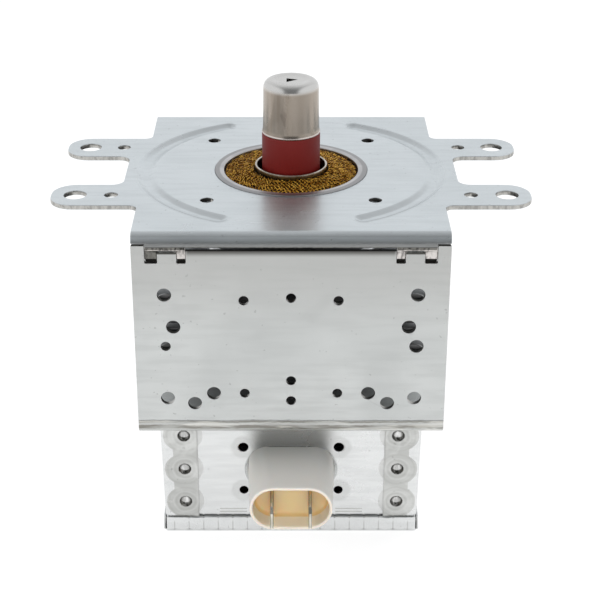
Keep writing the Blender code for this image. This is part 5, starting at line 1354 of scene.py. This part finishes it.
def make_box_shell():
    """The folded panel that makes the box's front, top and rear."""
    half = BOX_HIGH.x - BOX_SHEET - 0.15 * MM
    reach = BOX_HIGH.y - BOX_SHEET
    top = BOX_HIGH.z
    flat_half = reach - BOX_BEND
    height = top - BOX_LOW.z
    end = flat_half + run_for_drop(height, BOX_BEND)

    def at(level):
        """Give a front point's place in the pattern from its height."""
        return -(flat_half + run_for_drop(top - level, BOX_BEND))

    outline = rounded([(-half, -end, 0.5 * MM), (half, -end, 0.5 * MM), (half, end, 0.5 * MM), (-half, end, 0.5 * MM)], 3)
    window_x = 0.5 * SOCKET_BASE[0] + 0.12 * MM
    window_z = 0.5 * SOCKET_BASE[1] + 0.12 * MM - 0.4 * MM
    window = rounded([
        (-window_x, at(SOCKET_Z - window_z), 5.0 * MM), (window_x, at(SOCKET_Z - window_z), 5.0 * MM),
        (window_x, at(SOCKET_Z + window_z), 5.0 * MM), (-window_x, at(SOCKET_Z + window_z), 5.0 * MM)], 8)
    outlines = [outline, window, circle(0.0, 0.0, NECK_R + GAP, 64)]
    PANEL_MARKS.clear()
    PANEL_RIBS.clear()
    PANEL_COLLAR[:] = [at(SOCKET_Z)]
    rings = []
    spine = 0.5 * (SOCKET_COLLAR[0] - SOCKET_COLLAR[1])
    for away, _ in COLLAR_SHAPE[1:-1]:
        radius = 0.5 * SOCKET_COLLAR[1] + away * MM
        centre = at(SOCKET_Z)
        rings.append(rounded([(-spine - radius, centre - radius, 0.9999 * radius), (spine + radius, centre - radius, 0.9999 * radius),
                              (spine + radius, centre + radius, 0.9999 * radius), (-spine - radius, centre + radius, 0.9999 * radius)], 16))
    clinch_x = BOX_HIGH.x - CLINCH_INSET
    clinches = []
    for side in (-1, 1):
        for drop in CLINCH_DROPS:
            for end in (-1, 1):
                place = (side * clinch_x, end * -at(top - drop))
                clinches.append(place)
                outlines.append(circle(*place, 1.8 * MM, 24))
                rings.append([(min(max(x, -half + 0.3 * MM), half - 0.3 * MM), y) for x, y in circle(*place, COIN_R, 48)])
        for level, radius in zip(VENT_Z, VENT_R):
            outlines.append(circle(side * VENT_X, at(level), radius, 36))
            PANEL_MARKS.append(((side * VENT_X, at(level)), HALO))
            rings += [circle(side * VENT_X, at(level), away * MM, 32) for away in (1.9, 2.9, 3.4)]
        PANEL_RIBS.append((side * 15.0 * MM, at(5.9 * MM)))
        for away in (0.28, 0.42, 0.62, 0.8):
            for way in (-1, 1):
                y = at(5.9 * MM) + way * away * MM
                rings.append([(side * 15.0 * MM - 3.5 * MM, y), (side * 15.0 * MM + 3.5 * MM, y),
                              (side * 15.0 * MM + 3.5 * MM, y + 0.01 * MM), (side * 15.0 * MM - 3.5 * MM, y + 0.01 * MM)])

    def coats(middles):
        """Paint the rounds round the clinches and the double ribs."""
        rib = (np.abs(np.abs(middles[:, 0]) - 15.0 * MM) < 3.1 * MM) & (np.abs(np.abs(
            middles[:, 1] - at(5.9 * MM)) - 0.45 * MM) < 0.17 * MM)
        return np.where(rib, 3, coined(middles, clinches))

    bm = sheet(outlines, BOX_SHEET, 0.1 * MM, bend_lines(1, flat_half, BOX_BEND, 6), rings, panel_relief, coats)
    fold(bm, 1, flat_half, BOX_BEND)
    move(bm, UP, (0.0, 0.0, top))
    show("box_front_top_rear", bm, [PANEL, BRIGHT_EDGE, PRESSED, COINED], ["filter_box"], even=True)


def make_lid():
    """The lid: a tray whose skirt is slit into sprung fingers pressed onto the box."""
    reach_x = BOX_HIGH.x + GAP + LID_SHEET
    reach_y = BOX_HIGH.y + GAP + LID_SHEET
    flat_x = reach_x - LID_BEND
    flat_y = reach_y - LID_BEND
    skirt = run_for_drop(LID_SKIRT, LID_BEND)
    corner_x = reach_x - 0.95 * MM
    corner_y = reach_y - 0.95 * MM

    def fingers(half_length, edge):
        count = int(half_length / FINGER_PITCH)
        points = [(-half_length, edge)]
        for k in range(-count + 1, count):
            along = k * FINGER_PITCH
            points += [(along - 0.22 * MM, edge), (along, edge - 0.28 * MM), (along + 0.22 * MM, edge)]
        points.append((half_length, edge))
        return points

    ends = fingers(corner_x, flat_y + skirt)
    sides = fingers(corner_y, flat_x + skirt)
    outline = [(along, -across) for along, across in ends]
    outline.append((corner_x, -corner_y))
    outline += [(across, along) for along, across in sides]
    outline.append((corner_x, corner_y))
    outline += [(-along, across) for along, across in ends]
    outline.append((-corner_x, corner_y))
    outline += [(-across, -along) for along, across in sides]
    outline.append((-corner_x, -corner_y))
    lines = bend_lines(0, flat_x, LID_BEND, 5) + bend_lines(1, flat_y, LID_BEND, 5)
    for half_length, flat, axis in ((corner_x, flat_y, 1), (corner_y, flat_x, 0)):
        count = int(half_length / FINGER_PITCH)
        for k in range(-count, count):
            for share in (0.0, 0.05, 0.25, 0.5, 0.75, 0.95):
                along = (k + share) * FINGER_PITCH
                if abs(along) > half_length - 0.3 * MM or (share == 0.0 and k == -count):
                    continue
                for end in (-1, 1):
                    low = end * (flat + 1.3 * MM)
                    high = end * (flat + skirt - 0.35 * MM)
                    lines.append([(along, low), (along, high)] if axis == 1 else [(low, along), (high, along)])
    bm = sheet([outline], LID_SHEET, 0.19 * MM, lines)
    fold(bm, 0, flat_x, LID_BEND)
    fold(bm, 1, flat_y, LID_BEND)
    for vert in bm.verts:
        height = -vert.co.z
        share = min(1.0, max(0.0, (height - LID_BEND) / (LID_SKIRT - LID_BEND)))
        if share > 0.0:
            axis = 1 if reach_y - abs(vert.co.y) < reach_x - abs(vert.co.x) else 0
            along = vert.co[1 - axis]
            place = (along / FINGER_PITCH) % 1.0
            dent = 0.16 * MM * (1.0 - math.sin(math.pi * place) ** 0.5) * min(1.0, 3.0 * (1.0 - share))
            flat = min(1.0, max(0.0, (24.5 * MM - abs(along)) / (1.5 * MM))) if axis == 1 else 0.0
            lean = (0.26 + 0.50 * flat) * MM * share * share
            vert.co[axis] -= math.copysign(dent + lean, vert.co[axis])
    move(bm, DOWN, (0.0, 0.0, LID_LOW.z))
    show("box_lid_tray", bm, [SKIRT, BRIGHT_EDGE], ["filter_box_lid"], even=True)


# Connector

def slot_outline(y, width, height, radius, steps=12):
    half_width = 0.5 * width
    half_height = 0.5 * height
    radius = min(radius, 0.4999 * height)
    corners = [(half_width, -half_height, radius), (half_width, half_height, radius),
               (-half_width, half_height, radius), (-half_width, -half_height, radius)]
    return [(x, y, SOCKET_Z + z) for x, z in rounded(corners, steps)]


def make_connector():
    """The moulded socket: a rounded body that runs out into a stadium mouth with a soft rim and a
    shallow cavity, from whose floor the terminals stand."""
    mouth = SOCKET_LOW.y
    back = BOX_LOW.y + 2.2 * MM
    floor = mouth + SOCKET_CAVITY
    lip = (*SOCKET_MOUTH, 0.5 * SOCKET_MOUTH[1])
    base = (*SOCKET_BASE, 4.8 * MM)
    sections = []
    for depth, narrow in ((0.0, -0.42), (0.08, -0.20), (0.24, -0.06), (0.5, 0.0)):
        sections.append(slot_outline(mouth + depth * MM, lip[0] + narrow * MM, lip[1] + narrow * MM, lip[2]))
    for k in range(1, 13):
        share = k / 12
        ease = share * share * (3.0 - 2.0 * share)
        y = mouth + 0.9 * MM + share * (BOX_LOW.y - mouth - 1.6 * MM)
        sections.append(slot_outline(y, *(a + (b - a) * ease for a, b in zip(lip, base))))
    sections.append(slot_outline(back, *base))
    width = lip[0] - 2.0 * SOCKET_WALL
    height = lip[1] - 2.0 * SOCKET_WALL
    inner = []
    for y, wide in ((floor, -2.0), (floor - 0.12 * MM, -1.2), (floor - 0.4 * MM, -0.62), (floor - 0.9 * MM, -0.35),
                    (floor - 2.2 * MM, -0.2), (mouth + 0.5 * MM, -0.02), (mouth + 0.22 * MM, 0.02),
                    (mouth + 0.08 * MM, 0.14), (mouth, 0.38)):
        inner.append(slot_outline(y, width + wide * MM, height + wide * MM, lip[2]))
    bm = bmesh.new()
    loops = [[bm.verts.new(point) for point in ring] for ring in inner + sections]
    count = len(loops[0])
    for n, (first, second) in enumerate(zip(loops, loops[1:])):
        for i in range(count):
            j = (i + 1) % count
            face = bm.faces.new((first[i], first[j], second[j], second[i]))
            # the rim and the cavity's faces take the creams with painted light
            face.material_index = (1, 4, 4)[n] if n < 3 else (2 if n < 7 else (3 if n < 9 else 0))
    bm.faces.new(loops[0]).material_index = 1
    bm.faces.new(loops[-1])
    bmesh.ops.recalc_face_normals(bm, faces=bm.faces)
    show("socket_housing", bm, [CREAM, TAN, PEACH, RIM, AMBER], ["connector_housing"], 50.0)


def make_blades():
    """Two flat terminals with chamfered tips and a dimple hole near the tip."""
    for name in ("blade_left", "blade_right"):
        low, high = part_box(name)
        middle = 0.5 * (low + high)
        length = high.y - low.y
        height = high.z - low.z
        cut = 1.2 * MM
        outline = rounded([
            (-0.5 * length, -0.5 * height + cut, 0.3 * MM), (-0.5 * length + cut, -0.5 * height, 0.3 * MM),
            (0.5 * length, -0.5 * height, 0.2 * MM), (0.5 * length, 0.5 * height, 0.2 * MM),
            (-0.5 * length + cut, 0.5 * height, 0.3 * MM), (-0.5 * length, 0.5 * height - cut, 0.3 * MM)], 4)
        hole = circle(-0.5 * length + 3.6 * MM, 0.0, 0.85 * MM, 28)
        bm = sheet([outline, hole], high.x - low.x, 0.16 * MM)
        move(bm, ((0, 1, 0), (0, 0, 1), (1, 0, 0)), (high.x, middle.y, middle.z))
        show(name + "_terminal", bm, [TIN_SIDE_SHADE, TIN], [name], even=True)


# Carried-over nodes

def dress_nodes():
    """Give every CAD node that still shows, or that an opening may show, its own finish."""
    finishes = {
        "anode_cylinder": COPPER, "exhaust_tube": COPPER, "antenna_lead": COPPER,
        "upper_pole_piece": STEEL, "lower_pole_piece": STEEL, "output_neck": DULL_STEEL,
        "cathode_neck": DULL_STEEL, "stem_ceramic": PINK, "capacitor_plate": STEEL,
        "capacitor_body": WHITE_CERAMIC, "ferrite_rod_left": FERRITE, "ferrite_rod_right": FERRITE,
        "choke_coil_left": COPPER, "choke_coil_right": COPPER, "filament": TUNGSTEN,
        "upper_end_hat": TUNGSTEN, "lower_end_hat": TUNGSTEN, "centre_lead": TUNGSTEN,
        "side_lead": TUNGSTEN, "yoke_plate": ZINC, "yoke_frame": WALL, "filter_box": BRIGHT,
        "filter_box_lid": BRIGHT, "antenna_cap": NICKEL, "output_ceramic": PINK, "gasket_ring": RING_STEEL,
        "rf_gasket": CORE, "connector_housing": CREAM, "blade_left": TIN, "blade_right": TIN,
        "upper_magnet": FERRITE, "lower_magnet": FERRITE,
    }
    for name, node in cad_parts.items():
        finish = finishes.get(name)
        if finish is None:
            finish = ALUMINIUM if name.startswith("cooling_fin") else COPPER
        for slot in node.material_slots:
            slot.material = finish


# Studio

def make_floor():
    """A pale disc under the object, white to the eye and keeping the object's shadow."""
    bm = bmesh.new()
    bmesh.ops.create_circle(bm, cap_ends=True, segments=96, radius=3.0)
    mesh = bpy.data.meshes.new("floor")
    bm.to_mesh(mesh)
    bm.free()
    floor = bpy.data.objects.new("floor", mesh)
    bpy.context.scene.collection.objects.link(floor)
    floor.location.z = -0.0002
    shade = Shade("floor_paper", (0.86, 0.86, 0.86), 0.9)
    tone = shade.noise(30.0, 2.0)
    shade.set("Base Color", shade.mix(tone, (0.85, 0.85, 0.85), (0.87, 0.87, 0.87)))
    shade.set("Specular IOR Level", 0.0)
    path = shade.add("ShaderNodeLightPath", {})
    glow = shade.add("ShaderNodeEmission", {}, ("Color", (1.0, 1.0, 1.0)), ("Strength", 0.76))
    weak = shade.add("ShaderNodeBsdfDiffuse", {}, ("Color", (0.36, 0.36, 0.36)))
    bright = shade.add("ShaderNodeAddShader", {}, (0, glow.outputs[0]), (1, weak.outputs[0]))
    seen = shade.maths("MAXIMUM", path.outputs["Is Camera Ray"], path.outputs["Is Glossy Ray"])
    choose = shade.add("ShaderNodeMixShader", {}, (0, seen), (1, shade.shader.outputs[0]), (2, bright.outputs[0]))
    output = next(n for n in shade.tree.nodes if n.type == "OUTPUT_MATERIAL")
    shade.tree.links.new(choose.outputs[0], output.inputs["Surface"])
    mesh.materials.append(shade.material)


def make_world():
    """White for the camera; for the object a pale room that is darker low in front."""
    world = bpy.data.worlds.new("studio")
    bpy.context.scene.world = world
    world.use_nodes = True
    tree = world.node_tree
    tree.nodes.clear()

    def add(kind, settings, *inputs):
        node = tree.nodes.new(kind)
        for key, value in settings.items():
            setattr(node, key, value)
        for key, value in inputs:
            if isinstance(value, bpy.types.NodeSocket):
                tree.links.new(value, node.inputs[key])
            else:
                node.inputs[key].default_value = value
        return node

    def span(value, low, high, to_low, to_high):
        return add("ShaderNodeMapRange", {"interpolation_type": "SMOOTHSTEP"}, ("Value", value),
                   ("From Min", low), ("From Max", high), ("To Min", to_low), ("To Max", to_high)).outputs[0]

    def maths(operation, first, second):
        return add("ShaderNodeMath", {"operation": operation}, (0, first), (1, second)).outputs[0]

    place = add("ShaderNodeTexCoord", {}).outputs["Generated"]
    parts = add("ShaderNodeSeparateXYZ", {}, ("Vector", place)).outputs
    rear = span(parts["Y"], -0.78, 0.94, 0.25, 0.95)
    side = span(maths("ABSOLUTE", parts["X"], 0.0), 0.28, 0.62, 0.0, 1.0)
    level = maths("MAXIMUM", rear, side)
    path = add("ShaderNodeLightPath", {})
    room = add("ShaderNodeBackground", {}, ("Color", (0.97, 0.985, 1.0, 1.0)), ("Strength", level))
    white = add("ShaderNodeBackground", {}, ("Color", (1.0, 1.0, 1.0, 1.0)), ("Strength", 1.0))
    choose = add("ShaderNodeMixShader", {}, (0, path.outputs["Is Camera Ray"]), (1, room.outputs[0]),
                 (2, white.outputs[0]))
    add("ShaderNodeOutputWorld", {}, ("Surface", choose.outputs[0]))


def make_lamp(name, place, aim, size, power):
    data = bpy.data.lights.new(name, "AREA")
    data.size = size
    data.energy = power
    lamp = bpy.data.objects.new(name, data)
    bpy.context.scene.collection.objects.link(lamp)
    lamp.location = place
    lamp.rotation_euler = (Vector(aim) - Vector(place)).to_track_quat("-Z", "Y").to_euler()
    lamp.visible_glossy = False


def make_camera():
    data = bpy.data.cameras.new("camera")
    data.lens = LENS
    data.sensor_width = SENSOR
    data.shift_x = CAMERA_SHIFT
    camera = bpy.data.objects.new("camera", data)
    bpy.context.scene.collection.objects.link(camera)
    camera.location = CAMERA_PLACE
    camera.rotation_euler = (CAMERA_PITCH, 0.0, 0.0)
    bpy.context.scene.camera = camera


bpy.context.scene.view_settings.view_transform = "Standard"
make_camera()
make_world()
make_floor()
make_lamp("soft_top", (0.25, 0.30, 0.75), (0.0, 0.0, 0.05), 0.5, 1.2)
make_lamp("soft_left", (-0.7, -0.35, 0.45), (0.0, 0.0, 0.05), 0.5, 1.2)
make_lamp("soft_front", (0.0, -0.60, 0.27), (0.0, 0.0, 0.02), 0.4, 1.5)

dress_nodes()
make_yoke_plate()
make_yoke_frame()
make_antenna_cap()
make_output_insulator()
make_output_tube()
make_gasket_ring()
make_gasket()
make_magnets()
make_fins()
make_box_sides()
make_box_shell()
make_lid()
make_connector()
make_blades()
